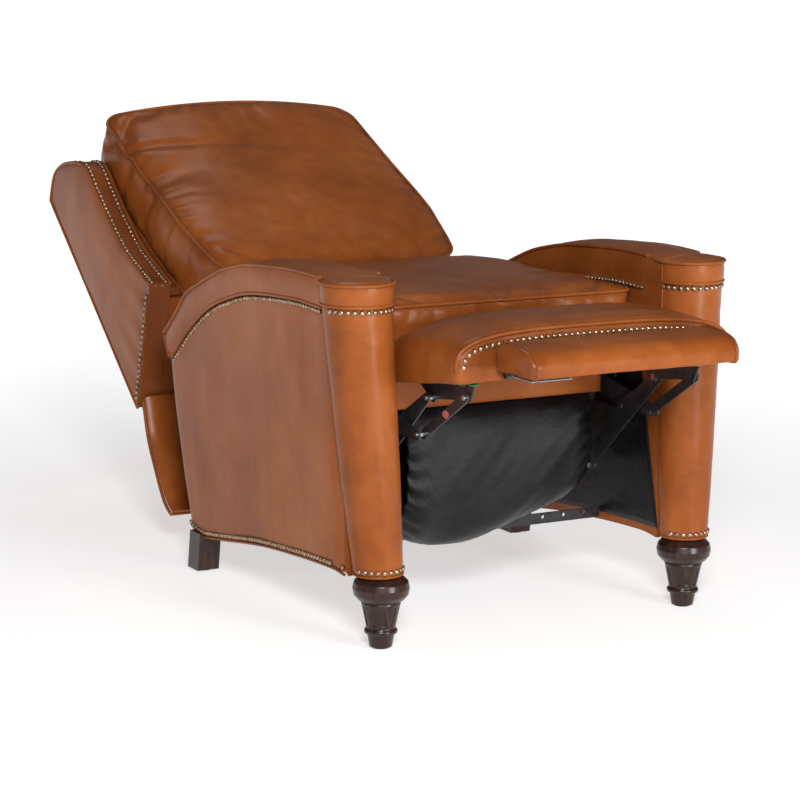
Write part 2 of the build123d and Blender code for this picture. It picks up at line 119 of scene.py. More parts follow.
class Expr:
    """A node socket that can be combined with +, -, * and other sockets or numbers."""

    def __init__(self, graph: "ShaderGraph", socket: bpy.types.NodeSocket) -> None:
        self.graph = graph
        self.socket = socket

    def _math(self, operation: str, other: "Expr | float", flip: bool = False) -> "Expr":
        """Combine with another value through a Math node.

        Args:
            operation: The Math node's operation.
            other: The second operand.
            flip: Whether the operands swap places.

        Returns:
            The result as an expression.
        """
        node = self.graph.node("ShaderNodeMath")
        node.operation = operation
        pair = (other, self) if flip else (self, other)
        for place, value in enumerate(pair):
            self.graph.feed(node.inputs[place], value)
        return Expr(self.graph, node.outputs[0])

    def __add__(self, other: "Expr | float") -> "Expr":
        return self._math("ADD", other)

    def __sub__(self, other: "Expr | float") -> "Expr":
        return self._math("SUBTRACT", other)

    def __rsub__(self, other: float) -> "Expr":
        return self._math("SUBTRACT", other, flip=True)

    def __mul__(self, other: "Expr | float") -> "Expr":
        return self._math("MULTIPLY", other)

    def power(self, exponent: float) -> "Expr":
        """Raise to a power."""
        return self._math("POWER", exponent)

    def mapped(self, low: float, high: float, out_low: float = 0.0, out_high: float = 1.0) -> "Expr":
        """Map the range low..high onto out_low..out_high, clamped."""
        node = self.graph.node("ShaderNodeMapRange")
        for place, value in enumerate((self, low, high, out_low, out_high)):
            self.graph.feed(node.inputs[place], value)
        return Expr(self.graph, node.outputs[0])


class ShaderGraph:
    """A material under construction around one Principled shader."""

    def __init__(self, name: str) -> None:
        self.material = bpy.data.materials.new(name)
        self.material.use_nodes = True
        self.tree = self.material.node_tree
        self.shader = self.tree.nodes["Principled BSDF"]
        self.place = Expr(self, self.node("ShaderNodeTexCoord").outputs["Object"])

    def node(self, kind: str) -> bpy.types.Node:
        """Add a node of the given kind."""
        return self.tree.nodes.new(kind)

    def feed(self, socket: bpy.types.NodeSocket, value: "Expr | float | Sequence[float]") -> None:
        """Link an expression to a socket, or set the socket's own value."""
        if isinstance(value, Expr):
            self.tree.links.new(value.socket, socket)
        else:
            socket.default_value = value

    def stretched(self, scale: Sequence[float]) -> Expr:
        """The object's coordinates scaled by a different factor on each axis."""
        node = self.node("ShaderNodeMapping")
        self.feed(node.inputs["Vector"], self.place)
        node.inputs["Scale"].default_value = scale
        return Expr(self, node.outputs[0])

    def noise(self, scale: float, detail: float = 3.0, distortion: float = 0.0, at: Expr | None = None,
              roughness: float = 0.5) -> Expr:
        """Fractal noise, in 0..1, at a scale in cycles per metre."""
        node = self.node("ShaderNodeTexNoise")
        self.feed(node.inputs["Vector"], at or self.place)
        node.inputs["Scale"].default_value = scale
        node.inputs["Detail"].default_value = detail
        node.inputs["Distortion"].default_value = distortion
        node.inputs["Roughness"].default_value = roughness
        return Expr(self, node.outputs["Fac"])

    def cells(self, scale: float, feature: str = "F1", at: Expr | None = None) -> Expr:
        """Voronoi distance at a scale in cells per metre."""
        node = self.node("ShaderNodeTexVoronoi")
        node.feature = feature
        self.feed(node.inputs["Vector"], at or self.place)
        node.inputs["Scale"].default_value = scale
        return Expr(self, node.outputs["Distance"])

    def attribute(self, name: str) -> Expr:
        """A named attribute of the mesh."""
        node = self.node("ShaderNodeAttribute")
        node.attribute_name = name
        return Expr(self, node.outputs["Fac"])

    def ramp(self, value: Expr, stops: Sequence[tuple[float, Sequence[float]]]) -> Expr:
        """Colour ramp over a value.

        Args:
            value: What drives the ramp.
            stops: Pairs of position and linear RGB colour.

        Returns:
            The colour.
        """
        node = self.node("ShaderNodeValToRGB")
        ramp = node.color_ramp
        while len(ramp.elements) < len(stops):
            ramp.elements.new(0.5)
        for element, (position, colour) in zip(ramp.elements, stops):
            element.position = position
            element.color = (*colour, 1.0)
        self.feed(node.inputs[0], value)
        return Expr(self, node.outputs[0])

    def mix(self, factor: Expr, first: Expr | Sequence[float], second: Expr | Sequence[float],
            blend: str = "MIX") -> Expr:
        """Mix two colours by a factor."""
        node = self.node("ShaderNodeMix")
        node.data_type = "RGBA"
        node.blend_type = blend
        self.feed(node.inputs[0], factor)
        for place, colour in ((6, first), (7, second)):
            self.feed(node.inputs[place], colour if isinstance(colour, Expr) else (*colour, 1.0))
        return Expr(self, node.outputs[2])

    def bump(self, height: Expr, distance: float, strength: float = 1.0, under: Expr | None = None) -> Expr:
        """Bump from a height in 0..1 that stands for a real distance in metres."""
        node = self.node("ShaderNodeBump")
        node.inputs["Strength"].default_value = strength
        node.inputs["Distance"].default_value = distance
        self.feed(node.inputs["Height"], height)
        if under is not None:
            self.feed(node.inputs["Normal"], under)
        return Expr(self, node.outputs[0])

    def finish(self, colour: Expr | Sequence[float], roughness: Expr | float, normal: Expr | None = None,
               metallic: float = 0.0, **constants: float) -> bpy.types.Material:
        """Connect the shader's main inputs and set its constant ones.

        Args:
            colour: Base colour.
            roughness: Surface roughness.
            normal: Bumped normal.
            metallic: Metallic value.
            **constants: Other socket values, with underscores for spaces.

        Returns:
            The finished material.
        """
        self.feed(self.shader.inputs["Base Color"], colour if isinstance(colour, Expr) else (*colour, 1.0))
        self.feed(self.shader.inputs["Roughness"], roughness)
        self.shader.inputs["Metallic"].default_value = metallic
        if normal is not None:
            self.feed(self.shader.inputs["Normal"], normal)
        for name, value in constants.items():
            self.shader.inputs[name.replace("_", " ")].default_value = value
        return self.material


def leather_material(name: str = "Caramel leather", shade: float = 1.0) -> bpy.types.Material:
    """Hand-rubbed aniline leather: mottled dye, painted shade darkening it by the seams and over recesses, fine pebble
    grain and soft creases.

    Args:
        name: Material name.
        shade: Multiplier on the dye's brightness.

    Returns:
        The material.
    """
    graph = ShaderGraph(name)
    clouds = graph.noise(4.5, 4.0, 0.8)
    patches = graph.noise(17.0, 5.0, 1.2, roughness=0.6)
    streaks = graph.noise(9.0, 3.0, 0.5, at=graph.stretched((3.0, 3.0, 0.5)))
    tone = clouds * 0.55 + patches * 0.25 + streaks * 0.2
    dye = graph.ramp(tone, [
        (0.30, [shade * c for c in (0.165, 0.039, 0.006)]),
        (0.45, [shade * c for c in (0.238, 0.061, 0.011)]),
        (0.56, [shade * c for c in (0.285, 0.078, 0.016)]),
        (0.72, [shade * c for c in (0.360, 0.116, 0.030)]),
    ])
    # Painted shade: the mesh's seam weight mixes the dye towards dark brown by seams, welts and recesses.
    seam = graph.attribute("seam").mapped(0.0, 1.0, 0.0, 0.55)
    seam_shaded = graph.mix(seam, dye, [shade * c for c in (0.105, 0.026, 0.008)])
    grain = graph.cells(620.0, "SMOOTH_F1", at=graph.place)
    wrinkle = graph.noise(230.0, 4.0, 0.6, roughness=0.65)
    crease = graph.noise(34.0, 3.0, 1.6, roughness=0.55)
    rough = patches * 0.16 + grain * 0.06 + 0.21
    soft = graph.bump(crease, 0.0012, 0.35)
    fine = graph.bump(wrinkle, 0.00022, 0.45, under=soft)
    pebble = graph.bump(grain, 0.00012, 0.5, under=fine)
    return graph.finish(seam_shaded, rough, pebble, Coat_Weight=0.07, Coat_Roughness=0.22, IOR=1.45,
                        Specular_IOR_Level=0.14)


def walnut_material() -> bpy.types.Material:
    """Dark stained walnut with fine vertical grain under a satin lacquer."""
    graph = ShaderGraph("Dark walnut")
    grain = graph.noise(70.0, 5.0, 1.4, at=graph.stretched((1.0, 1.0, 0.07)), roughness=0.62)
    pores = graph.noise(420.0, 3.0, 0.2, at=graph.stretched((1.0, 1.0, 0.06)))
    tone = grain * 0.7 + pores * 0.3
    colour = graph.ramp(tone, [(0.32, (0.008, 0.0034, 0.0024)), (0.52, (0.025, 0.0092, 0.0058)),
                               (0.70, (0.058, 0.022, 0.013))])
    normal = graph.bump(tone, 0.0003, 0.5)
    return graph.finish(colour, grain * 0.15 + 0.28, normal, Coat_Weight=0.2, Coat_Roughness=0.2,
                        Specular_IOR_Level=0.3)


def nail_material() -> bpy.types.Material:
    """Antique nail heads: dark bronze with pale worn crowns."""
    graph = ShaderGraph("Antique nail heads")
    worn = graph.noise(160.0, 3.0, 0.4)
    fleck = graph.noise(900.0, 2.0)
    colour = graph.ramp(worn * 0.6 + fleck * 0.4, [(0.35, (0.16, 0.095, 0.05)), (0.55, (0.42, 0.29, 0.18)),
                                                   (0.72, (0.66, 0.52, 0.38))])
    return graph.finish(colour, fleck * 0.25 + 0.2, graph.bump(fleck, 0.0002, 0.4), metallic=0.85)


def steel_material(name: str, colour: Sequence[float], metallic: float = 0.0,
                   roughness: float = 0.32) -> bpy.types.Material:
    """Painted or bare steel with faint orange peel and rubbed patches."""
    graph = ShaderGraph(name)
    peel = graph.noise(900.0, 2.0)
    rubbed = graph.noise(60.0, 4.0, 0.5)
    paint = graph.ramp(rubbed, [(0.35, colour), (0.75, [min(1.0, c * 1.7 + 0.012) for c in colour])])
    return graph.finish(paint, rubbed * 0.2 + roughness - 0.08, graph.bump(peel, 0.0001, 0.3), metallic=metallic)


def cloth_material() -> bpy.types.Material:
    """Thin black nylon: plain weave, soft broad shine and dusty ridges."""
    graph = ShaderGraph("Black nylon cloth")
    warp = graph.node("ShaderNodeTexWave")
    warp.inputs["Scale"].default_value = 700.0
    warp.bands_direction = "Z"
    weft = graph.node("ShaderNodeTexWave")
    weft.inputs["Scale"].default_value = 700.0
    weft.bands_direction = "X"
    for wave in (warp, weft):
        graph.feed(wave.inputs["Vector"], graph.place)
    weave = Expr(graph, warp.outputs["Fac"]) * Expr(graph, weft.outputs["Fac"])
    dust = graph.noise(45.0, 4.0, 0.8)
    colour = graph.ramp(dust, [(0.35, (0.002, 0.002, 0.0026)), (0.70, (0.0065, 0.0062, 0.008))])
    crumple = graph.bump(graph.noise(60.0, 4.0, 1.5), 0.002, 0.4)
    normal = graph.bump(weave, 0.00012, 0.5, under=crumple)
    return graph.finish(colour, dust * 0.15 + 0.33, normal, Specular_IOR_Level=0.26)


def plain_material(name: str, colour: Sequence[float], roughness: float, metallic: float = 0.0
                   ) -> bpy.types.Material:
    """Moulded plastic, print or bare wood with slight mottling and micro texture."""
    graph = ShaderGraph(name)
    mottle = graph.noise(90.0, 4.0, 0.4)
    tone = graph.ramp(mottle, [(0.3, [c * 0.78 for c in colour]), (0.7, colour)])
    speck = graph.noise(1200.0, 2.0)
    return graph.finish(tone, speck * 0.12 + roughness, graph.bump(speck, 0.0001, 0.3), metallic=metallic)


class Materials:
    """The chair's materials, made once and looked up by record slot."""

    def __init__(self) -> None:
        self.by_slot = {
            Slot.LEATHER: leather_material(),
            Slot.WALNUT: walnut_material(),
            Slot.NAILS: nail_material(),
            Slot.STEEL: steel_material("Black painted steel", (0.012, 0.012, 0.014)),
            Slot.CLOTH: cloth_material(),
            Slot.PLASTIC: plain_material("Glide plastic", (0.08, 0.05, 0.035), 0.5),
            Slot.WOOD: plain_material("Frame timber", (0.36, 0.22, 0.11), 0.6),
            Slot.SPRING: steel_material("Bright steel", (0.42, 0.42, 0.43), 1.0, 0.3),
        }
        self.green = plain_material("Green washer plastic", (0.03, 0.22, 0.07), 0.38)
        self.red = plain_material("Red sticker", (0.45, 0.10, 0.09), 0.5)
        self.label = plain_material("Blank grey label", (0.24, 0.27, 0.32), 0.45)


MATERIALS = Materials()

# ---------------------------------------------------------------- geometry tools


def to_row(points: np.ndarray) -> np.ndarray:
    """Millimetres from the front leg axis to metres in the row frame."""
    return np.asarray(points, float) * MM + (0.0, LEG_Y, 0.0)


def curve(points: Sequence[Sequence[float]], count: int, closed: bool = False) -> np.ndarray:
    """Smooth curve through the points, resampled at even spacing.

    Args:
        points: Control points, in two or three dimensions.
        count: Number of samples.
        closed: Whether the curve returns to its start.

    Returns:
        Array of samples.
    """
    knots = np.asarray(points, float)
    ends = (knots[-1:], knots[:2]) if closed else (2 * knots[:1] - knots[1:2], 2 * knots[-1:] - knots[-2:-1])
    padded = np.vstack([ends[0], knots, ends[1]])
    fine = []
    t = np.linspace(0, 1, 24, endpoint=False)[:, None]
    for a, b, c, d in zip(padded, padded[1:], padded[2:], padded[3:]):
        fine.append(0.5 * (2 * b + (c - a) * t + (2 * a - 5 * b + 4 * c - d) * t**2
                           + (3 * b - a - 3 * c + d) * t**3))
    samples = np.vstack(fine + [padded[-2:-1]])
    length = np.concatenate([[0], np.cumsum(np.linalg.norm(np.diff(samples, axis=0), axis=1))])
    goal = np.linspace(0, length[-1], count + 1 if closed else count)[: count]
    return np.stack([np.interp(goal, length, samples[:, k]) for k in range(samples.shape[1])], axis=1)


def at_x(x: float | np.ndarray, line: np.ndarray) -> np.ndarray:
    """Turn (y, z) samples into points at the given x."""
    return np.column_stack([np.broadcast_to(x, len(line)), line])


def coons(bottom: np.ndarray, top: np.ndarray, front: np.ndarray, rear: np.ndarray) -> np.ndarray:
    """Fill four boundary curves with a grid.

    Args:
        bottom: Curve from the front to the rear along the bottom, n samples.
        top: The same along the top, n samples.
        front: Curve from the bottom to the top at the front, m samples.
        rear: The same at the rear, m samples.

    Returns:
        Grid of shape (m, n, 2).
    """
    s = np.linspace(0, 1, len(bottom))[None, :, None]
    t = np.linspace(0, 1, len(front))[:, None, None]
    across = (1 - t) * bottom[None] + t * top[None]
    along = (1 - s) * front[:, None] + s * rear[:, None]
    corners = ((1 - s) * (1 - t) * bottom[0] + s * (1 - t) * bottom[-1] + (1 - s) * t * top[0] + s * t * top[-1])
    return across + along - corners


def smooth_noise(point: Sequence[float], scale: float, seed: float = 0.0) -> float:
    """Signed noise at a point in millimetres, with features about 1/scale millimetres wide."""
    return noise.noise(Vector(point) * scale + Vector((seed, 2.3 * seed, 0.7 * seed)))


@dataclass
class Form:
    """Points in millimetres and faces, with an optional weight at each point, mostly its closeness to the nearest
    seam, for the painted shade that darkens the leather there.
    """

    points: np.ndarray
    faces: list[tuple[int, ...]]
    seam: np.ndarray | None = None

    def displaced(self, amount: Callable[[np.ndarray], float]) -> "Form":
        """Move each point along its normal by what the function gives, in millimetres."""
        normals = np.zeros_like(self.points)
        for face in self.faces:
            corner = self.points[list(face)]
            normal = np.cross(corner[2] - corner[0], corner[-1] - corner[1])
            normals[list(face)] += normal
        normals /= np.linalg.norm(normals, axis=1)[:, None] + 1e-9
        shift = np.array([amount(p) for p in self.points])
        return Form(self.points + normals * shift[:, None], self.faces, self.seam)


def loft(rings: np.ndarray, caps: bool = True, dome: float = 0.0) -> Form:
    """Closed rings joined into a tube, with caps made of shrinking rings.

    Args:
        rings: Array of shape (stations, points, 3).
        caps: Whether both ends are closed.
        dome: How far each cap bulges out, in millimetres.

    Returns:
        The form.
    """
    stations = [ring for ring in rings]
    if caps:
        for end, beside, place in ((0, 1, 0), (-1, -2, len(stations))):
            centre = stations[end].mean(axis=0)
            out = centre - stations[beside].mean(axis=0)
            out /= np.linalg.norm(out) + 1e-9
            inner = [centre + (stations[end] - centre) * f + out * dome * (1 - f**2) for f in CAP_STEPS]
            stations = inner[::-1] + stations if place == 0 else stations + inner
    points = np.vstack(stations)
    count = len(stations[0])
    faces = []
    for row in range(len(stations) - 1):
        for k in range(count):
            a, b = row * count + k, row * count + (k + 1) % count
            faces.append((a, b, b + count, a + count))
    if caps:
        faces.append(tuple(range(count - 1, -1, -1)))
        faces.append(tuple(range((len(stations) - 1) * count, len(stations) * count)))
    return Form(points, faces)


CAP_STEPS = (0.985, 0.95, 0.88, 0.76, 0.6, 0.4, 0.18)


def slab(outer: np.ndarray, inner: np.ndarray) -> Form:
    """Closed body between two grids of the same shape (m, n, 3)."""
    rows, columns = outer.shape[:2]
    count = rows * columns
    points = np.vstack([outer.reshape(-1, 3), inner.reshape(-1, 3)])
    faces = []
    for r in range(rows - 1):
        for c in range(columns - 1):
            a = r * columns + c
            faces.append((a, a + 1, a + columns + 1, a + columns))
            faces.append((count + a + columns, count + a + columns + 1, count + a + 1, count + a))
    edge = ([(0, c) for c in range(columns)] + [(r, columns - 1) for r in range(1, rows)]
            + [(rows - 1, c) for c in range(columns - 2, -1, -1)] + [(r, 0) for r in range(rows - 2, 0, -1)])
    index = [r * columns + c for r, c in edge]
    for a, b in zip(index, index[1:] + index[:1]):
        faces.append((b, a, a + count, b + count))
    return Form(points, faces)


def tube(path: np.ndarray, radius: float, closed: bool = False, sides: int = 8) -> Form:
    """Round tube along a path, with rounded ends where it is open."""
    if closed:
        tangents = np.roll(path, -1, axis=0) - np.roll(path, 1, axis=0)
    else:
        tangents = np.gradient(path, axis=0)
    tangents /= np.linalg.norm(tangents, axis=1)[:, None] + 1e-9
    rings = []
    normal = np.cross(tangents[0], (0.31, 0.22, 0.93))
    for spot, tangent in zip(path, tangents):
        normal = normal - tangent * np.dot(normal, tangent)
        normal /= np.linalg.norm(normal) + 1e-9
        side = np.cross(tangent, normal)
        angles = np.linspace(0, 2 * math.pi, sides, endpoint=False)[:, None]
        rings.append(spot + radius * (np.cos(angles) * normal + np.sin(angles) * side))
    if closed:
        form = loft(np.array(rings), caps=False)
        last = (len(rings) - 1) * sides
        turn = int(np.argmin(np.linalg.norm(rings[0] - rings[-1][0], axis=1)))
        for k in range(sides):
            form.faces.append((last + k, last + (k + 1) % sides, (k + 1 + turn) % sides, (k + turn) % sides))
        return form
    return loft(np.array(rings))


class Builder:
    """Turns forms into finished Blender pieces on the right body."""

    def add(self, name: str, form: Form, body: str, slot: Slot = Slot.LEATHER, bevel: float = 0.0,
            material: bpy.types.Material | None = None, levels: int = 0, angle: float = 38.0) -> bpy.types.Object:
        """Make a piece.

        Args:
            name: Piece name.
            form: Its geometry, in millimetres.
            body: CAD body that it rides on; empty to leave it free for a blend.
            slot: Record slot of its finish.
            bevel: Width of rounding on sharp edges, in millimetres.
            material: Material to use in place of the slot's own.
            levels: Subdivision levels.
            angle: Largest angle between faces that is still smooth or left unrounded, in degrees.

        Returns:
            The object.
        """
        LOG.info("piece %s rides %s", name, body)
        mesh = bpy.data.meshes.new(name)
        mesh.from_pydata(to_row(form.points).tolist(), [], form.faces)
        work = bmesh.new()
        work.from_mesh(mesh)
        bmesh.ops.recalc_face_normals(work, faces=work.faces)
        work.to_mesh(mesh)
        work.free()
        mesh.shade_smooth()
        # The seam attribute carries the painted shade weight that the leather material reads.
        seam = mesh.attributes.new("seam", "FLOAT", "POINT")
        if form.seam is not None:
            seam.data.foreach_set("value", form.seam.astype(np.float32))
        piece = bpy.data.objects.new(name, mesh)
        bpy.context.scene.collection.objects.link(piece)
        mesh.materials.append(material or MATERIALS.by_slot[slot])
        if bevel:
            rounding = piece.modifiers.new("Rounding", "BEVEL")
            rounding.width = bevel * MM
            rounding.segments = 3
            rounding.limit_method = "ANGLE"
            rounding.angle_limit = math.radians(angle)
            rounding.harden_normals = True
        if levels:
            smooth = piece.modifiers.new("Smoothing", "SUBSURF")
            smooth.levels = smooth.render_levels = levels
        if body:
            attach(piece, body)
        return piece

    def welt(self, name: str, path: np.ndarray, body: str, closed: bool = False,
             radius: float = WELT_RADIUS) -> bpy.types.Object:
        """A piped seam along a path, in millimetres."""
        form = tube(path, radius, closed)
        # Welts get an even, light share of the painted seam shade.
        form.seam = np.full(len(form.points), 0.25)
        return self.add(name, form, body)

    def nails(self, name: str, spots: Iterable[tuple[np.ndarray, np.ndarray]], body: str,
              *stands_for: str) -> bpy.types.Object:
        """Domed nail heads.

        Args:
            name: Piece name.
            spots: Pairs of centre and outward direction.
            body: CAD body.
            *stands_for: CAD nodes that the piece replaces.

        Returns:
            The object.
        """
        around, rows = 12, 4
        points, faces = [], []
        for number, (centre, out) in enumerate(spots):
            out = out / np.linalg.norm(out)
            first = np.cross(out, (0.3, 0.5, 0.81))
            first /= np.linalg.norm(first)
            second = np.cross(out, first)
            size = NAIL_RADIUS * (1 + 0.04 * math.sin(number * 2.399))
            start = len(points)
            for row in range(rows):
                rise = math.radians(90 * row / rows)
                for k in range(around):
                    angle = 2 * math.pi * k / around
                    flat = first * math.cos(angle) + second * math.sin(angle)
                    points.append(centre + size * (flat * math.cos(rise) + out * 0.72 * math.sin(rise)))
            points.append(centre + out * size * 0.72)
            for row in range(rows - 1):
                for k in range(around):
                    a, b = start + row * around + k, start + row * around + (k + 1) % around
                    faces.append((a, b, b + around, a + around))
            top = start + rows * around
            for k in range(around):
                faces.append((top - around + k, top - around + (k + 1) % around, top))
            faces.append(tuple(start + k for k in range(around - 1, -1, -1)))
        piece = self.add(name, Form(np.array(points), faces), body, Slot.NAILS)
        if stands_for:
            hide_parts(*stands_for)
        return piece


BUILD = Builder()


def spaced(line: np.ndarray, pitch: float = NAIL_PITCH) -> np.ndarray:
    """Samples along a polyline at a pitch, half a pitch in from each end."""
    steps = np.linalg.norm(np.diff(line, axis=0), axis=1)
    length = np.concatenate([[0], np.cumsum(steps)])
    count = max(1, int(length[-1] / pitch))
    goal = (np.arange(count) + 0.5) * length[-1] / count
    return np.stack([np.interp(goal, length, line[:, k]) for k in range(line.shape[1])], axis=1)


# ---------------------------------------------------------------- outlines

ARM_TOP = [(36, 624), (100, 628), (160, 629), (229, 627), (354, 617), (420, 606), (485, 590), (570, 558),
           (635, 530), (675, 494), (743, 440)]
BAND_LOW = [(36, 577), (106, 577), (197, 578), (356, 566), (452, 545), (540, 515), (627, 465), (716, 398)]
ARM_REAR = [(667, 82), (689, 165), (706, 239), (723, 314), (731, 389), (724, 396)]
ARM_BOTTOM = [(36, 121), (60, 124), (95, 125), (209, 119), (368, 105), (529, 81), (604, 71), (648, 75), (667, 82)]
WING_FRONT = [(884, 513), (939, 534), (1013, 566), (1087, 618), (1153, 671), (1204, 713), (1253, 719)]
WING_CROWN = [(1253, 719), (1320, 708), (1369, 682), (1394, 627)]
BACK_LOW = (948, 259)
BACK_TOP = (1394, 627)
TAIL_LINE = [(946, 276), (938, 252), (920, 199), (887, 145), (849, 92), (816, 69)]
FLARE = 0.036
PANEL_LOW_X = 358.0


def panel_x(z: np.ndarray | float) -> np.ndarray | float:
    """X of the arm's leaning outer face at height z."""
    return PANEL_LOW_X + FLARE * z


# ---------------------------------------------------------------- legs


class TurnedLeg:
    """A turned front leg: ring bead, fluted taper and bun."""

    PROFILE = [(19.5, 3), (22.5, 20), (23.2, 25), (27.6, 26.5), (28.8, 30), (27.6, 33.5), (25.2, 35.5), (25.8, 40),
               (33.6, 78), (34.2, 80), (30.5, 82.5), (40, 85.5), (47, 94), (49, 105), (46.5, 116), (38, 124.5),
               (25, 127.2)]
    FLUTES = 10
    FLUTE_ENDS = (41.0, 75.0)
    FLUTE_DEPTH = 2.4

    def __init__(self, side: Side) -> None:
        self.side = side

    def radius(self, base: float, z: float, angle: float) -> float:
        """Radius with the flutes cut in."""
        low, high = self.FLUTE_ENDS
        if not low < z < high:
            return base
        end = min(1.0, min(z - low, high - z) / 4.5)
        wave = max(0.0, math.cos(self.FLUTES * angle)) ** 0.6
        return base - self.FLUTE_DEPTH * wave * math.sqrt(max(0.0, 1 - (1 - end) ** 2))

    def build(self) -> None:
        """Add the leg in place of its CAD node."""
        outline = []
        for (r0, z0), (r1, z1) in zip(self.PROFILE, self.PROFILE[1:]):
            steps = max(1, int(abs(z1 - z0) / 1.6))
            outline += [(r0 + (r1 - r0) * k / steps, z0 + (z1 - z0) * k / steps) for k in range(steps)]
        outline.append(self.PROFILE[-1])
        around = 160
        centre = np.array([self.side.value * 1000 * LEG_X, 0.0])
        rings = []
        for base, z in outline:
            ring = []
            for k in range(around):
                angle = 2 * math.pi * k / around
                r = self.radius(base, z, angle)
                ring.append((centre[0] + r * math.cos(angle), centre[1] + r * math.sin(angle), z))
            rings.append(ring)
        form = loft(np.array(rings))
        piece = BUILD.add(f"turned_leg_{self.side.label}", form, "base", Slot.WALNUT)
        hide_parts(f"leg_front_{self.side.label}")


# ---------------------------------------------------------------- arms


class Post:
    """The round upholstered column at the front of an arm, with its capped top."""

    LEVELS = [(128, 41.5), (131, 43.0), (160, 44.2), (200, 46.6), (290, 50.4), (385, 53.6), (480, 56.6), (560, 58.6),
              (583, 58.8)]
    CAP = [(584, 56), (587, 61.0), (600, 62.6), (614, 62.4), (621, 61.4), (626, 55), (629.5, 42), (631.5, 22),
           (632, 6)]
    BASE = np.array([313.0, 6.0])
    TOP = np.array([336.0, 43.0])

    def __init__(self, side: Side) -> None:
        self.side = side

    def centre(self, z: float) -> np.ndarray:
        """Centre of the column at height z."""
        t = min(1.0, (z - 128) / (585 - 128))
        spot = self.BASE + (self.TOP - self.BASE) * t
        return spot * (self.side.value, 1.0)

    def ring(self, z: float, r: float, count: int = 72) -> np.ndarray:
        """Circle of points round the column."""
        angles = np.linspace(0, 2 * math.pi, count, endpoint=False)
        middle = self.centre(z)
        return np.column_stack([middle[0] + r * np.cos(angles), middle[1] + r * np.sin(angles), np.full(count, z)])

    def build(self) -> None:
        """Add the column, cap and welts, and work out where its nail rows go."""
        heights = np.linspace(128, 583, 70)
        radii = np.interp(heights, *zip(*self.LEVELS))
        column = loft(np.array([self.ring(z, r) for z, r in zip(heights, radii)]))
        # Painted shade darkens the column near its welted top and foot.
        column.seam = np.clip(1 - np.minimum(column.points[:, 2] - 128, 583 - column.points[:, 2]) / 14, 0, 1)
        column = column.displaced(lambda p: 0.55 * smooth_noise((p[0] * 0.3, p[1] * 0.3, p[2]), 0.11, self.side.value)
                                  + 0.7 * smooth_noise(p, 0.02, 4.0))
        shaft = BUILD.add(f"post_column_{self.side.label}", column, "base", bevel=1.5)
        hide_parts(f"arm_post_{self.side.label}")
        cap = loft(np.array([self.ring(z, r) for z, r in self._cap_profile()]))
        # Painted shade darkens the cap by its top welt.
        cap.seam = np.clip(1 - np.abs(cap.points[:, 2] - 622) / 9, 0, 1) * 0.6
        top = BUILD.add(f"post_cap_{self.side.label}", cap, "base")
        BUILD.welt(f"post_welt_top_{self.side.label}", self.ring(622, 62.6), "base", closed=True)
        BUILD.welt(f"post_welt_low_{self.side.label}", self.ring(586.5, 60.8), "base", closed=True)
        BUILD.welt(f"post_welt_foot_{self.side.label}", self.ring(129.5, 42.2), "base", closed=True, radius=2.6)
        rows = [(137.5, 43.4, (190, 352)), (577.5, 58.9, (155, 352))]
        spots = []
        for z, r, (low, high) in rows:
            count = int(2 * math.pi * r / NAIL_PITCH)
            for k in range(count):
                degrees = 360 * k / count
                if low < degrees < high:
                    angle = math.radians(degrees)
                    out = np.array([self.side.value * math.cos(angle), math.sin(angle), 0.0])
                    spots.append((np.append(self.centre(z), z) + out * r, out))
        self.nail_spots = spots

    def _cap_profile(self) -> list[tuple[float, float]]:
        """Heights and radii of the cap, finely sampled."""
        samples = curve(self.CAP, 34)
        return [(z, r) for z, r in samples]


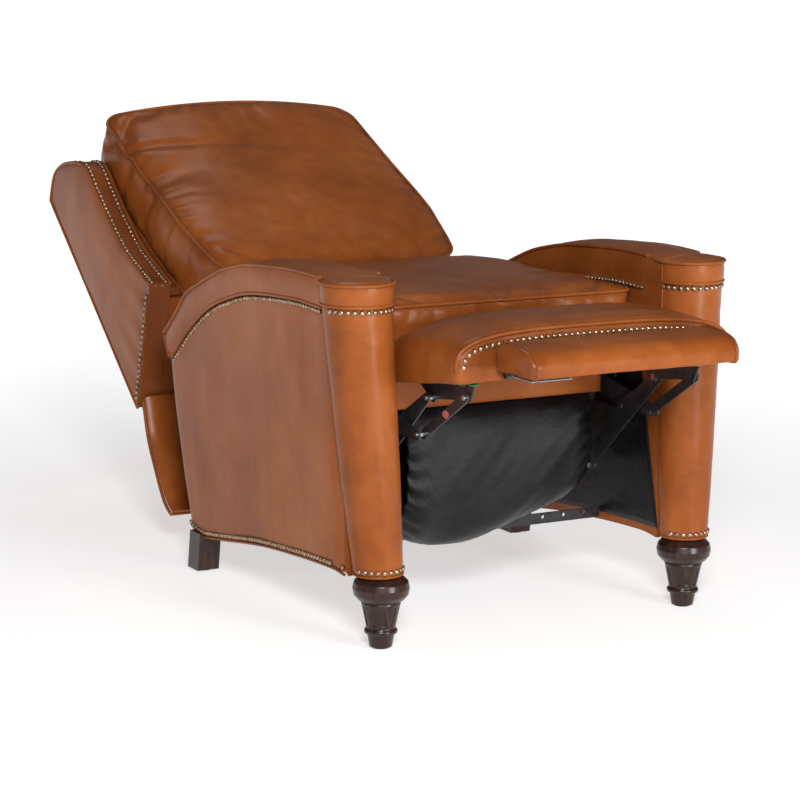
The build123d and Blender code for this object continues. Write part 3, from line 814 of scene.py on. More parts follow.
class Arm:
    """One arm: side panel, padded top band, welts and nail rows."""

    def __init__(self, side: Side) -> None:
        self.side = side
        self.sign = side.value

    def mirrored(self, points: np.ndarray) -> np.ndarray:
        """Points on this side of the chair."""
        return points * (self.sign, 1.0, 1.0)

    def panel(self) -> None:
        """The leather-covered body under the band."""
        n, m = 74, 56
        grid = coons(curve(ARM_BOTTOM, n), curve(BAND_LOW, n), np.linspace(ARM_BOTTOM[0], BAND_LOW[0], m),
                     curve([*ARM_REAR, BAND_LOW[-1]], m))
        s = np.linspace(0, 1, n)[None, :]
        t = np.linspace(0, 1, m)[:, None]
        bulge = 3.5 * np.sin(math.pi * s) ** 0.6 * np.sin(math.pi * t) ** 0.6
        edge = np.minimum(np.minimum(t, 1 - t) * 450, (1 - s) * 650)
        tuck = -5.0 * np.exp(-np.maximum(edge, 0) / 5.0)
        crease = -7.0 * np.exp(-(((s * 690 - 14) / 12.0) ** 2))
        x_out = panel_x(grid[..., 1]) - 2 + bulge + tuck + crease
        waves = np.array([[smooth_noise((y, z, 0.0), 0.011, 3.0 * self.sign) for y, z in row] for row in grid])
        outer = np.dstack([x_out + 1.6 * waves, grid[..., 0], grid[..., 1]])
        inner = np.dstack([np.full((m, n), ARM_INNER + 2.0), grid[..., 0], grid[..., 1]])
        form = slab(self.mirrored(outer), self.mirrored(inner))
        # Painted shade darkens the panel along its seamed edges.
        seam_shade_weight = np.clip(1 - edge / 16, 0, 1) * np.ones((m, n))
        form.seam = np.concatenate([seam_shade_weight.ravel(), np.zeros(m * n)])
        piece = BUILD.add(f"arm_side_{self.side.label}", form, "base", bevel=4.0)
        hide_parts(f"arm_panel_{self.side.label}", f"arm_frame_{self.side.label}")

    def band(self) -> None:
        """The padded band over the arm, crowned between its welts."""
        n = 84
        top, low = curve(ARM_TOP, n), curve(BAND_LOW, n)
        slope = np.gradient(top, axis=0)
        normal = np.column_stack([-slope[:, 1], slope[:, 0]])
        normal /= np.linalg.norm(normal, axis=1)[:, None]
        x_in = ARM_INNER + 2.5
        rings = []
        for k in range(n):
            fade = np.clip((n - k) / (0.5 * n) - 0.25, 0.05, 1.0)
            x_out = panel_x(low[k, 1]) + 3.5
            ring = []
            for t in np.linspace(0, 1, 8):
                spot = low[k] + (top[k] - low[k]) * t
                ring.append((x_out + 3.0 * math.sin(math.pi * t), *spot))
            for t in np.linspace(0, 1, 18)[1:-1]:
                spot = top[k] + normal[k] * 8.5 * fade * math.sin(math.pi * t) ** 0.7
                ring.append((x_out + (x_in - x_out) * t, *spot))
            for t in np.linspace(0, 1, 8):
                spot = top[k] + (low[k] - top[k]) * t
                ring.append((x_in - 2.0 * math.sin(math.pi * t), *spot))
            for t in np.linspace(0, 1, 6)[1:-1]:
                ring.append((x_in + (x_out - x_in) * t, *low[k]))
            rings.append(ring)
        form = loft(self.mirrored(np.array(rings)), dome=3.0)
        form = form.displaced(lambda p: 0.8 * smooth_noise(p, 0.022, 9.0 + self.sign))
        piece = BUILD.add(f"arm_band_{self.side.label}", form, "base", bevel=3.0, angle=50)
        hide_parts(f"arm_pad_{self.side.label}")
        out_x = np.array([panel_x(z) + 4.5 for z in low[:, 1]])
        front = 5
        for name, x, line in (("outer", out_x, top), ("inner", np.full(n, x_in), top), ("hem", out_x - 2.0, low)):
            BUILD.welt(f"arm_welt_{name}_{self.side.label}", self.mirrored(at_x(x, line))[front:], "base")
        end = np.array([(out_x[-1], *top[-1]), (out_x[-1], *low[-1])])
        BUILD.welt(f"arm_welt_end_{self.side.label}", self.mirrored(np.linspace(end[0], end[1], 8)), "base")

    def trim(self, post: Post) -> None:
        """Nail rows under the band, along the bottom and round the post."""
        lean = np.array([self.sign * 1.0, 0.0, -FLARE])
        spots = list(post.nail_spots)
        for outline, lift, low, high in ((BAND_LOW, -8.5, 96, 720), (ARM_BOTTOM, 9.0, 44, 662)):
            for y, z in spaced(curve(outline, 200)):
                if low < y < high:
                    height = z + lift
                    x = panel_x(height) - 1.5 + (-5.5 if y < 85 and lift > 0 else 0.0)
                    spots.append((np.array([self.sign * x, y, height]), lean))
        for y, z in spaced(curve(BAND_LOW, 200)):
            if 96 < y < 330:
                spots.append((np.array([self.sign * (ARM_INNER + 0.5), y, z - 8.5]), np.array([-self.sign, 0.0, 0.0])))
        BUILD.nails(f"arm_nail_trim_{self.side.label}", spots, "base", f"arm_nails_{self.side.label}")
        hem = curve(ARM_BOTTOM, 90)[1:]
        hem_x = np.array([panel_x(z) - 5.0 for z in hem[:, 1]])
        BUILD.welt(f"arm_welt_bottom_{self.side.label}", self.mirrored(at_x(hem_x, hem)), "base", radius=2.8)

    def build(self) -> None:
        """Add the whole arm."""
        post = Post(self.side)
        post.build()
        self.panel()
        self.band()
        self.trim(post)


# ---------------------------------------------------------------- cushions


class Cushion:
    """A boxed cushion: crowned top, boxing strip and bottom, swollen by a cloth simulation inside its seams."""

    FRAMES = 20

    def __init__(self, name: str, half_width: Callable[[float], float], length: float, thick: float,
                 place: Callable[[np.ndarray], np.ndarray], corner: float, crown: float,
                 cells: tuple[int, int] = (58, 52)) -> None:
        """Describe the cushion in its own frame: across, along and up, in millimetres.

        Args:
            name: Piece name.
            half_width: Half-width at a share of the length.
            length: Size along.
            thick: Height between the two seams.
            place: Turns local points into chair points.
            corner: Radius of its corners in plan.
            crown: How far the cloth may leave its seams' plane.
            cells: Grid cells across and along.
        """
        self.name, self.half_width, self.length, self.thick = name, half_width, length, thick
        self.place, self.corner, self.crown, self.cells = place, corner, crown, cells

    def _plan(self, i: float, j: float) -> tuple[float, float]:
        """Rounded plan position of a grid point given in -1 to 1 both ways."""
        half_length = self.length / 2
        half = self.half_width((j + 1) / 2)
        x, y = i * half, j * half_length
        keep_x = max(-half + self.corner, min(half - self.corner, x))
        keep_y = max(-half_length + self.corner, min(half_length - self.corner, y))
        dx, dy = x - keep_x, y - keep_y
        if dx and dy:
            scale = max(abs(dx), abs(dy)) / math.hypot(dx, dy)
            x, y = keep_x + dx * scale, keep_y + dy * scale
        return x, y + half_length

    def form(self) -> tuple[Form, list[int], np.ndarray]:
        """Geometry before it swells, the vertices on its seams and those on its upper seam in order."""
        across, along = self.cells
        faces: list[tuple[int, ...]] = []
        grid = [(i, j) for j in range(along + 1) for i in range(across + 1)]
        sheets = []
        for up in (self.thick, 0.0):
            sheets.append([(*self._plan(2 * i / across - 1, 2 * j / along - 1), up) for i, j in grid])
        points = sheets[0] + sheets[1]
        count = len(grid)
        for j in range(along):
            for i in range(across):
                a = j * (across + 1) + i
                faces.append((a, a + 1, a + across + 2, a + across + 1))
                faces.append((count + a + across + 1, count + a + across + 2, count + a + 1, count + a))
        edge = ([(i, 0) for i in range(across)] + [(across, j) for j in range(along)]
                + [(i, along) for i in range(across, 0, -1)] + [(0, j) for j in range(along, 0, -1)])
        rim = [j * (across + 1) + i for i, j in edge]
        bands = max(3, int(self.thick / 11))
        rows = [rim]
        for band in range(1, bands):
            start = len(points)
            points += [(*points[a][:2], self.thick * (1 - band / bands)) for a in rim]
            rows.append(list(range(start, start + len(rim))))
        rows.append([count + a for a in rim])
        for upper, lower in zip(rows, rows[1:]):
            for k in range(len(rim)):
                n = (k + 1) % len(rim)
                faces.append((upper[n], upper[k], lower[k], lower[n]))
        local = np.array(points, float)
        return Form(local, faces), rows[0] + rows[-1], np.array(rows[0])

    def swell(self, form: Form, pinned: list[int]) -> np.ndarray:
        """Local points after the stuffing pushes the leather out between the seams.

        Args:
            form: The slack cushion in its local frame.
            pinned: Seam vertices.
        """
        rest = form.points
        scene = bpy.context.scene
        mesh = bpy.data.meshes.new("swelling")
        mesh.from_pydata((rest * MM).tolist(), [], form.faces)
        work = bmesh.new()
        work.from_mesh(mesh)
        bmesh.ops.recalc_face_normals(work, faces=work.faces)
        work.to_mesh(mesh)
        work.free()
        cloth_object = bpy.data.objects.new("swelling", mesh)
        scene.collection.objects.link(cloth_object)
        group = cloth_object.vertex_groups.new(name="seams")
        group.add(pinned, 1.0, "REPLACE")
        cloth = cloth_object.modifiers.new("Stuffing", "CLOTH")
        settings = cloth.settings
        settings.use_pressure = True
        settings.uniform_pressure_force = 4.0
        settings.vertex_group_mass = "seams"
        settings.shrink_min = -0.035
        settings.mass = 0.4
        settings.tension_stiffness = settings.compression_stiffness = 18
        settings.bending_stiffness = 1.2
        settings.quality = 6
        settings.effector_weights.gravity = 0
        cloth.point_cache.frame_start, cloth.point_cache.frame_end = 1, self.FRAMES
        for step in range(1, self.FRAMES + 1):
            scene.frame_set(step)
        graph = bpy.context.evaluated_depsgraph_get()
        swollen = cloth_object.evaluated_get(graph).to_mesh()
        moved = np.array([v.co for v in swollen.vertices]) / MM
        cloth_object.evaluated_get(graph).to_mesh_clear()
        scene.frame_set(1)
        bpy.data.objects.remove(cloth_object)
        shift = moved - rest
        size = np.linalg.norm(shift, axis=1)[:, None]
        cap = self.crown * np.where(rest[:, 2] < 0.1, 0.25, np.where(rest[:, 2] < self.thick - 0.1, 0.4, 1.0))[:, None]
        return rest + shift / (size + 1e-9) * cap * np.tanh(size / cap)

    def build(self, body: str, node: str, puckers: float = 1.6, fill: float = 0.8,
              shape: Callable[[np.ndarray], np.ndarray] | None = None) -> bpy.types.Object:
        """Swell, pucker and place the cushion, add it, and keep its two seam lines for the welts.

        Args:
            body: CAD body; empty for a piece that is blended later.
            node: CAD node that it replaces.
            puckers: Depth of the gathers beside the seams.
            fill: How full it is; not used.
            shape: Extra change to the swollen local points, such as a crease.

        Returns:
            The cushion.
        """
        form, pinned, upper = self.form()
        local = self.swell(form, pinned)
        seam_points = form.points[pinned]
        nearest = np.array([np.linalg.norm(seam_points - p, axis=1).min() for p in form.points])
        if shape:
            local = shape(local)
        # Painted shade darkens the leather in the creases beside the seams.
        seam_shade_weight = np.exp(-nearest / 9.0)
        form = Form(local, form.faces, np.clip(seam_shade_weight, 0, 1))
        reach = np.exp(-((nearest - 16) / 16.0) ** 2) * (nearest > 0.5)
        wobble = np.array([smooth_noise((p[0] * 1.6, p[1] * 1.6, p[2] * 0.4), 0.055, 5.0) for p in form.points])
        broad = np.array([smooth_noise(p, 0.012, 11.0) for p in form.points])
        table = {tuple(p): k for k, p in enumerate(form.points)}
        form = form.displaced(lambda p: puckers * reach[table[tuple(p)]] * wobble[table[tuple(p)]] * 1.6
                              + 2.2 * broad[table[tuple(p)]] * (nearest[table[tuple(p)]] > 0.5))
        form.points = self.place(form.points)
        piece = BUILD.add(self.name, form, body, levels=1)
        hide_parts(node)
        self.upper_seam = form.points[upper]
        self.lower_seam = form.points[[pinned[len(upper) + k] for k in range(len(upper))]]
        return piece


def place_seat(local: np.ndarray) -> np.ndarray:
    """Seat cushion's own frame to the chair's: along from the front, up from the lower seam."""
    rise = 472.0 - 3.0 * (local[:, 1] / 540)
    return np.column_stack([local[:, 0], 104.0 + local[:, 1], rise + local[:, 2]])


SLOPE = math.radians(25.8)
PILLOW_TOP = np.array([1256.0, 807.0])
PILLOW_DOWN = -np.array([math.cos(SLOPE), math.sin(SLOPE)])
PILLOW_OUT = np.array([-math.sin(SLOPE), math.cos(SLOPE)])


def place_pillow(local: np.ndarray) -> np.ndarray:
    """Back cushion's own frame to the chair's: along downwards from its top, up out of its back."""
    x, y = local[:, 0], local[:, 1]
    middle = np.clip(1 - (x / 286) ** 2, 0, 1)
    near_top = np.exp(-y / 150.0)
    depth = 117.0 - local[:, 2] * (1 + 0.21 * middle * near_top)
    spot = PILLOW_TOP + np.outer(y - 7.0 * middle * near_top, PILLOW_DOWN) - np.outer(depth, PILLOW_OUT)
    return np.column_stack([x, spot])


def crease_pillow(local: np.ndarray) -> np.ndarray:
    """Press a soft dimple with fading folds into the upper left of the cushion."""
    out = local.copy()
    top = np.clip((local[:, 2] - 60) / 50, 0, 1)
    x, y = local[:, 0], local[:, 1]
    pinch = np.exp(-((y - 240) / 55.0) ** 2) * np.clip(-x / 240 - 0.6, 0, 1) * 2.5
    out[:, 0] += 9.0 * pinch * np.exp(-((local[:, 2] - 80) / 50.0) ** 2)
    out[:, 2] -= 7.0 * pinch * top
    fold = np.exp(-((y - 150 - 0.10 * (x + 200)) / 11.0) ** 2) * np.clip(1 - (x + 262) / 330, 0, 1) * (x > -285)
    ridge = np.exp(-((y - 178 - 0.10 * (x + 200)) / 20.0) ** 2) * np.clip(1 - (x + 262) / 330, 0, 1)
    out[:, 2] += top * (-7.5 * fold + 3.0 * ridge)
    sag = np.exp(-((y - 360) / 110.0) ** 2) * 4.0
    out[:, 2] += top * sag
    return out


class Seating:
    """Seat cushion and back cushion."""

    SEAT_LENGTH = 530.0
    PILLOW_LENGTH = 585.0

    def build(self) -> None:
        """Add both cushions with their piped seams."""
        seat = Cushion("seat_cushion_leather", lambda s: SEAT_HALF - 6 - 10 * s * s, self.SEAT_LENGTH, 92.0, place_seat, 34.0,
                       20.0)
        seat.build("carriage", "seat_cushion")
        for name, seam in (("upper", seat.upper_seam), ("lower", seat.lower_seam)):
            BUILD.welt(f"seat_welt_{name}", seam, "carriage", closed=True)
        pillow = Cushion("back_cushion_leather", lambda s: np.interp(s, [0, 0.7, 0.88, 1], [284, 281, 268, 254]),
                         self.PILLOW_LENGTH, 116.0, place_pillow, 40.0, 20.0)
        cushion = pillow.build("back", "back_cushion", puckers=2.2, fill=0.9, shape=crease_pillow)
        seam = BUILD.welt("back_cushion_welt", pillow.upper_seam, "back", closed=True)
        rear_seam = BUILD.welt("back_cushion_welt_rear", pillow.lower_seam, "back", closed=True)
        for piece in (cushion, seam, rear_seam):
            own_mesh(piece)


# ---------------------------------------------------------------- back


class Wing:
    """One padded wing at the side of the back."""

    def __init__(self, side: Side) -> None:
        self.side, self.sign = side, side.value

    def build(self) -> None:
        """Add the wing, its welts and nail rows."""
        n, m = 46, 50
        grid = coons(np.linspace(WING_FRONT[0], BACK_LOW, n), curve(WING_CROWN, n), curve(WING_FRONT, m),
                     np.linspace(BACK_LOW, BACK_TOP, m))
        s, t = np.linspace(0, 1, n)[None, :], np.linspace(0, 1, m)[:, None]
        bulge = np.sin(math.pi * s) ** 0.5 * np.sin(math.pi * np.clip(t, 0.0, 1)) ** 0.5
        waves = np.array([[smooth_noise((y, z, 0.0), 0.014, 7.0 * self.sign) for y, z in row] for row in grid])
        pleats = 1.6 * np.exp(-t * 9) * np.cos(26 * s) * (s < 1)
        outer = np.dstack([WING_OUTER - 1.5 + 5.5 * bulge + 1.4 * waves + pleats, grid[..., 0], grid[..., 1]])
        inner = np.dstack([298.0 - 9.0 * bulge, grid[..., 0], grid[..., 1]])
        scale = (self.sign, 1.0, 1.0)
        form = slab(outer * scale, inner * scale)
        edge = np.minimum(np.minimum(t * 250, (1 - t) * 250), np.minimum(s, 1 - s) * 300)
        # Painted shade darkens the wing towards its seamed edges.
        seam_shade_weight = np.exp(-np.maximum(edge, 0) / 9.0) * np.ones((m, n))
        form.seam = np.concatenate([seam_shade_weight.ravel(), seam_shade_weight.ravel()])
        piece = BUILD.add(f"wing_leather_{self.side.label}", form, "back", bevel=5.0)
        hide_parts(f"wing_{self.side.label}")
        front = curve(WING_FRONT, 60)
        for name, x in (("outer", WING_OUTER - 0.5), ("inner", 299.0)):
            BUILD.welt(f"wing_welt_{name}_{self.side.label}", at_x(x, front) * scale, "back")
        around = np.vstack([curve(WING_CROWN, 30), np.linspace(BACK_TOP, BACK_LOW, 30)[1:]])
        BUILD.welt(f"wing_welt_rear_{self.side.label}", at_x(WING_OUTER - 1.5, around) * scale, "back")
        spots = []
        slope = np.gradient(front, axis=0)
        for y, z in spaced(front):
            near = int(np.argmin(np.hypot(*(front - (y, z)).T)))
            out = np.array([0.0, -slope[near][1], slope[near][0]])
            out /= np.linalg.norm(out)
            for x in (307.5, WING_OUTER - 8.0):
                spots.append((np.array([self.sign * x, y, z]) + out * 0.6, out))
        low = np.linspace(WING_FRONT[0], BACK_LOW, 30)
        for x in np.linspace(315, WING_OUTER - 16, 2):
            spots.append((np.array([self.sign * x, low[0][0] + 4, low[0][1] - 3.0]), np.array([0.0, -1.0, 0.2])))
        for y, z in spaced(low)[2:-1]:
            spots.append((np.array([self.sign * (WING_OUTER - 1.0), y + 9, z + 2]), np.array([self.sign, 0.0, 0.0])))
        BUILD.nails(f"wing_nail_trim_{self.side.label}", spots, "back", f"wing_nails_{self.side.label}")


class BackShell:
    """Padded outside back between the wings, and the tail that hangs from its lower edge."""

    def shell(self) -> None:
        """The outside back."""
        profile = np.array([(952, 276), BACK_LOW, (1171, 442), BACK_TOP, (1388, 655), (1369, 682), (1330, 700),
                            (1300, 706), (1196, 640), (1000, 545), (925, 500), (930, 400)], float)
        outline = []
        for a, b in zip(profile, np.roll(profile, -1, axis=0)):
            steps = max(1, int(np.linalg.norm(b - a) / 16))
            outline += [a + (b - a) * k / steps for k in range(steps)]
        ring = np.array(outline)
        down = (np.array(BACK_LOW) - BACK_TOP) / np.linalg.norm(np.array(BACK_LOW) - BACK_TOP)
        away = np.array([-down[1], down[0]])
        away *= math.copysign(1.0, away[0])
        along = (ring - BACK_TOP) @ down
        gap = np.abs((ring - BACK_TOP) @ away)
        length = np.linalg.norm(np.array(BACK_LOW) - BACK_TOP)
        rings = []
        for x in np.linspace(-300, 300, 61):
            puff = 8.0 * (1 - (x / 300) ** 4) * np.clip(np.sin(math.pi * np.clip(along / length, 0, 1)), 0, 1) ** 0.6
            moved = ring + away * (puff * (gap < 3))[:, None]
            rings.append(at_x(x, moved))
        form = loft(np.array(rings))
        form = form.displaced(lambda p: 1.5 * smooth_noise(p, 0.012, 21.0))
        piece = BUILD.add("outside_back", form, "back", bevel=4.0, angle=45)
        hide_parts("back_shell")

    def lining(self) -> None:
        """Leather over the frame behind the back cushion, seen in the gap beside it and darkened all over with painted
        shade for that recess.
        """
        xs, down = np.linspace(-299.5, 299.5, 50), np.linspace(2, 456, 40)
        face = [PILLOW_TOP + d * PILLOW_DOWN - 118.5 * PILLOW_OUT for d in down]
        grid = np.array([[(x, *spot) for x in xs] for spot in face])
        under = grid - (0.0, 18.0 * PILLOW_OUT[0], 18.0 * PILLOW_OUT[1])
        form = slab(grid, under)
        # Full painted shade: the whole sheet is darkened as the shaded recess beside the cushion.
        form.seam = np.full(len(form.points), 1.0)
        piece = BUILD.add("inside_back_leather", form, "back", bevel=2.0)
        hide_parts("back_frame")

    def tail(self) -> None:
        """The flared flap under the back with a welt round its edge."""
        line = curve(TAIL_LINE, 40)
        slope = np.gradient(line, axis=0)
        away = np.column_stack([slope[:, 1], -slope[:, 0]])
        away /= np.linalg.norm(away, axis=1)[:, None]
        inward = np.array([-0.85, 0.53])
        x = np.linspace(-333, 333, 68)
        t = np.linspace(0, 1, 40)
        outer, inner = np.zeros((40, 68, 3)), np.zeros((40, 68, 3))
        for r in range(40):
            for c in range(68):
                wave = 2.4 * t[r] * math.sin(x[c] / 46.0) + 1.6 * smooth_noise((x[c], 60 * t[r], 0.0), 0.018, 31.0)
                puff = 4.0 * math.sin(math.pi * t[r]) ** 0.5 * (1 - (x[c] / 333) ** 6)
                lip = 6.0 * (1 - min(1.0, (333 - abs(x[c])) / 12.0))
                outer[r, c] = (x[c], *(line[r] - inward * (wave + puff - 4.0 - 0.3 * lip)))
                inner[r, c] = (x[c], *(line[r] + inward * (15.0 - lip - wave)))
        form = slab(outer, inner)
        piece = BUILD.add("tail_leather", form, "back", bevel=4.0)
        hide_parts("tail_panel")
        border = np.vstack([at_x(-333, line), [(v, *line[-1]) for v in np.linspace(-333, 333, 60)[1:-1]],
                            at_x(333, line[::-1])])
        BUILD.welt("tail_welt", border, "back")

    def build(self) -> None:
        """Add the outside back and the tail."""
        self.shell()
        self.lining()
        self.tail()


# ---------------------------------------------------------------- footrest


class Footrest:
    """Padded footrest, its flip pad and what is fixed under them."""

    LOW_FRONT, LOW_REAR = (-170.0, 477.0), (100.0, 438.0)
    POWER = 3.4

    def _floor(self, y: float) -> float:
        """Height of the underside at y."""
        (y0, z0), (y1, z1) = self.LOW_FRONT, self.LOW_REAR
        return z0 + (z1 - z0) * (y - y0) / (y1 - y0)

    def _crown(self, y: float) -> float:
        """Height of the middle of the top at y."""
        return float(np.interp(y, [-172, -160, -120, -40, 20, 60, 84, 96, 101],
                               [558, 563, 569, 571, 561, 545, 528, 512, 492]))

    def _outline(self, y: float, count: int = 88, shrink: float = 0.0) -> np.ndarray:
        """Loaf-shaped section in x and z at y, from the right foot of the arch over to the left."""
        low, high = self._floor(y), self._crown(y) - shrink
        half = SEAT_HALF - shrink
        angles = np.linspace(0, math.pi, count)
        c, s = np.cos(angles), np.sin(angles)
        x = half * np.sign(c) * np.abs(c) ** (2 / self.POWER)
        z = low + 20 + (high - low - 20) * np.abs(s) ** (2 / self.POWER)
        arch = np.column_stack([x, np.full(count, y), z])
        return arch[::-1]

    def pad(self) -> None:
        """The loaf, with its welt and nail row round the near face."""
        rings = []
        for y in np.concatenate([[-171.0, -168.5, -164.0], np.linspace(-158, 86, 60), [91, 95, 98, 100]]):
            shrink = max(0.0, (-164 - y) * 0.45) ** 1.5 + max(0.0, (y - 86) * 0.55) ** 1.1
            arch = self._outline(y, shrink=shrink)
            low = self._floor(y)
            bottom = [(x, y, low + 0.4) for x in np.linspace(SEAT_HALF - 4 - shrink, -SEAT_HALF + 4 + shrink, 40)]
            rings.append(np.vstack([arch, [(arch[-1][0], y, low + 8)], bottom, [(arch[0][0], y, low + 8)]]))
        form = loft(np.array(rings), dome=1.5)
        # Painted shade darkens the upper near face by its welt.
        front = np.exp(-((form.points[:, 1] + 171) / 8.0) ** 2)
        form.seam = np.clip(front * (form.points[:, 2] > 500), 0, 1) * 0.7

        def wrinkles(p: np.ndarray) -> float:
            """Soft folds over the top and a puckered near face."""
            face = 1.0 if p[1] < -169 else 0.0
            return ((1.5 + 1.6 * face) * smooth_noise(p, 0.014, 41.0)
                    + 0.9 * smooth_noise((p[0] * 2.2, p[1] * 0.5, p[2] * 0.8), 0.03, 43.0))

        form = form.displaced(wrinkles)
        piece = BUILD.add("footrest_loaf", form, "footrest", bevel=2.0, angle=60)
        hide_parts("footrest_pad")
        arch = self._outline(-171.0, 150)
        BUILD.welt("footrest_welt", arch + (0.0, -0.5, 0.0), "footrest")
        inside = self._outline(-172.5, 200, shrink=14.0)
        spots = [(p, np.array([0.0, -1.0, 0.0])) for p in spaced(inside) if p[2] > 500]
        BUILD.nails("footrest_nail_row", spots, "footrest", "footrest_nails")

    def flip(self) -> None:
        """The small pad that unfolds past the footrest."""
        profile = [(-187, 498), (-240, 497.5), (-296, 498), (-302, 506), (-301, 522), (-288, 537), (-262, 545),
                   (-230, 547), (-202, 545), (-189, 536), (-186, 520), (-186, 504)]
        ring = curve(profile, 84, closed=True)
        middle = ring.mean(axis=0)
        half = 203.0
        rings = []
        for x in np.concatenate([[-half, -half + 3, -half + 7], np.linspace(-half + 12, half - 12, 78),
                                 [half - 7, half - 3, half]]):
            close = max(0.0, 1 - (half - abs(x)) / 12.0)
            rings.append(at_x(x, middle + (ring - middle) * (1 - 0.10 * close**2)))
        form = loft(np.array(rings), dome=4.0)
        # Painted shade darkens the pad by its end welts.
        form.seam = np.exp(-np.abs(np.abs(form.points[:, 0]) - half + 8) / 6.0)
        form = form.displaced(lambda p: 1.6 * smooth_noise(p, 0.017, 51.0)
                              + 0.8 * smooth_noise((p[0] * 0.4, p[1] * 1.5, p[2] * 1.5), 0.035, 53.0))
        piece = BUILD.add("flip_pad_leather", form, "flip_pad")
        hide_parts("flip_pad", "flip_board")
        for side in Side:
            x = side.value * (half - 9)
            BUILD.welt(f"flip_welt_{side.label}", at_x(x, middle + (ring - middle) * 0.995), "flip_pad",
                       closed=True, radius=2.2)

    def labels(self) -> None:
        """Blank label and sticker, and the green washers on the hinge bolts."""
        def box(lo: Sequence[float], hi: Sequence[float]) -> Form:
            """Thin rounded plate between two corners."""
            xs, ys = np.linspace(lo[0], hi[0], 12), np.linspace(lo[1], hi[1], 8)
            top = np.array([[(x, y, hi[2]) for x in xs] for y in ys])
            return slab(top, top - (0, 0, hi[2] - lo[2]))

        BUILD.add("underside_label", box((-196, -290, 492.6), (-120, -228, 494.2)), "flip_pad", Slot.PLASTIC,
                         bevel=0.4, material=MATERIALS.label)
        angles = np.linspace(0, 2 * math.pi, 28, endpoint=False)
        ovals = [np.column_stack([np.full(28, -x), -75 + 10 * np.cos(angles), 408 + 7 * np.sin(angles)])
                 for x in (230.6, 231.2)]
        BUILD.add("link_sticker", loft(np.array(ovals)), "link_d", Slot.PLASTIC, material=MATERIALS.red)
        for x in (-222, 222):
            for number, (y, z) in enumerate(((-150.0, 471.0), (-120.0, 466.5))):
                angles = np.linspace(0, 2 * math.pi, 24, endpoint=False)
                discs = [np.column_stack([x + 9 * r * np.cos(angles), y + 9 * r * np.sin(angles), np.full(24, h)])
                         for r, h in ((0.8, z - 3), (1.0, z - 2.2), (1.0, z - 0.8), (0.8, z))]
                name = f"washer_{'left' if x > 0 else 'right'}_{number}"
                BUILD.add(name, loft(np.array(discs)), "footrest", Slot.PLASTIC, material=MATERIALS.green)

    def build(self) -> None:
        """Add everything on the footrest and flip pad."""
        self.pad()
        self.flip()
        self.labels()


# ---------------------------------------------------------------- cloth


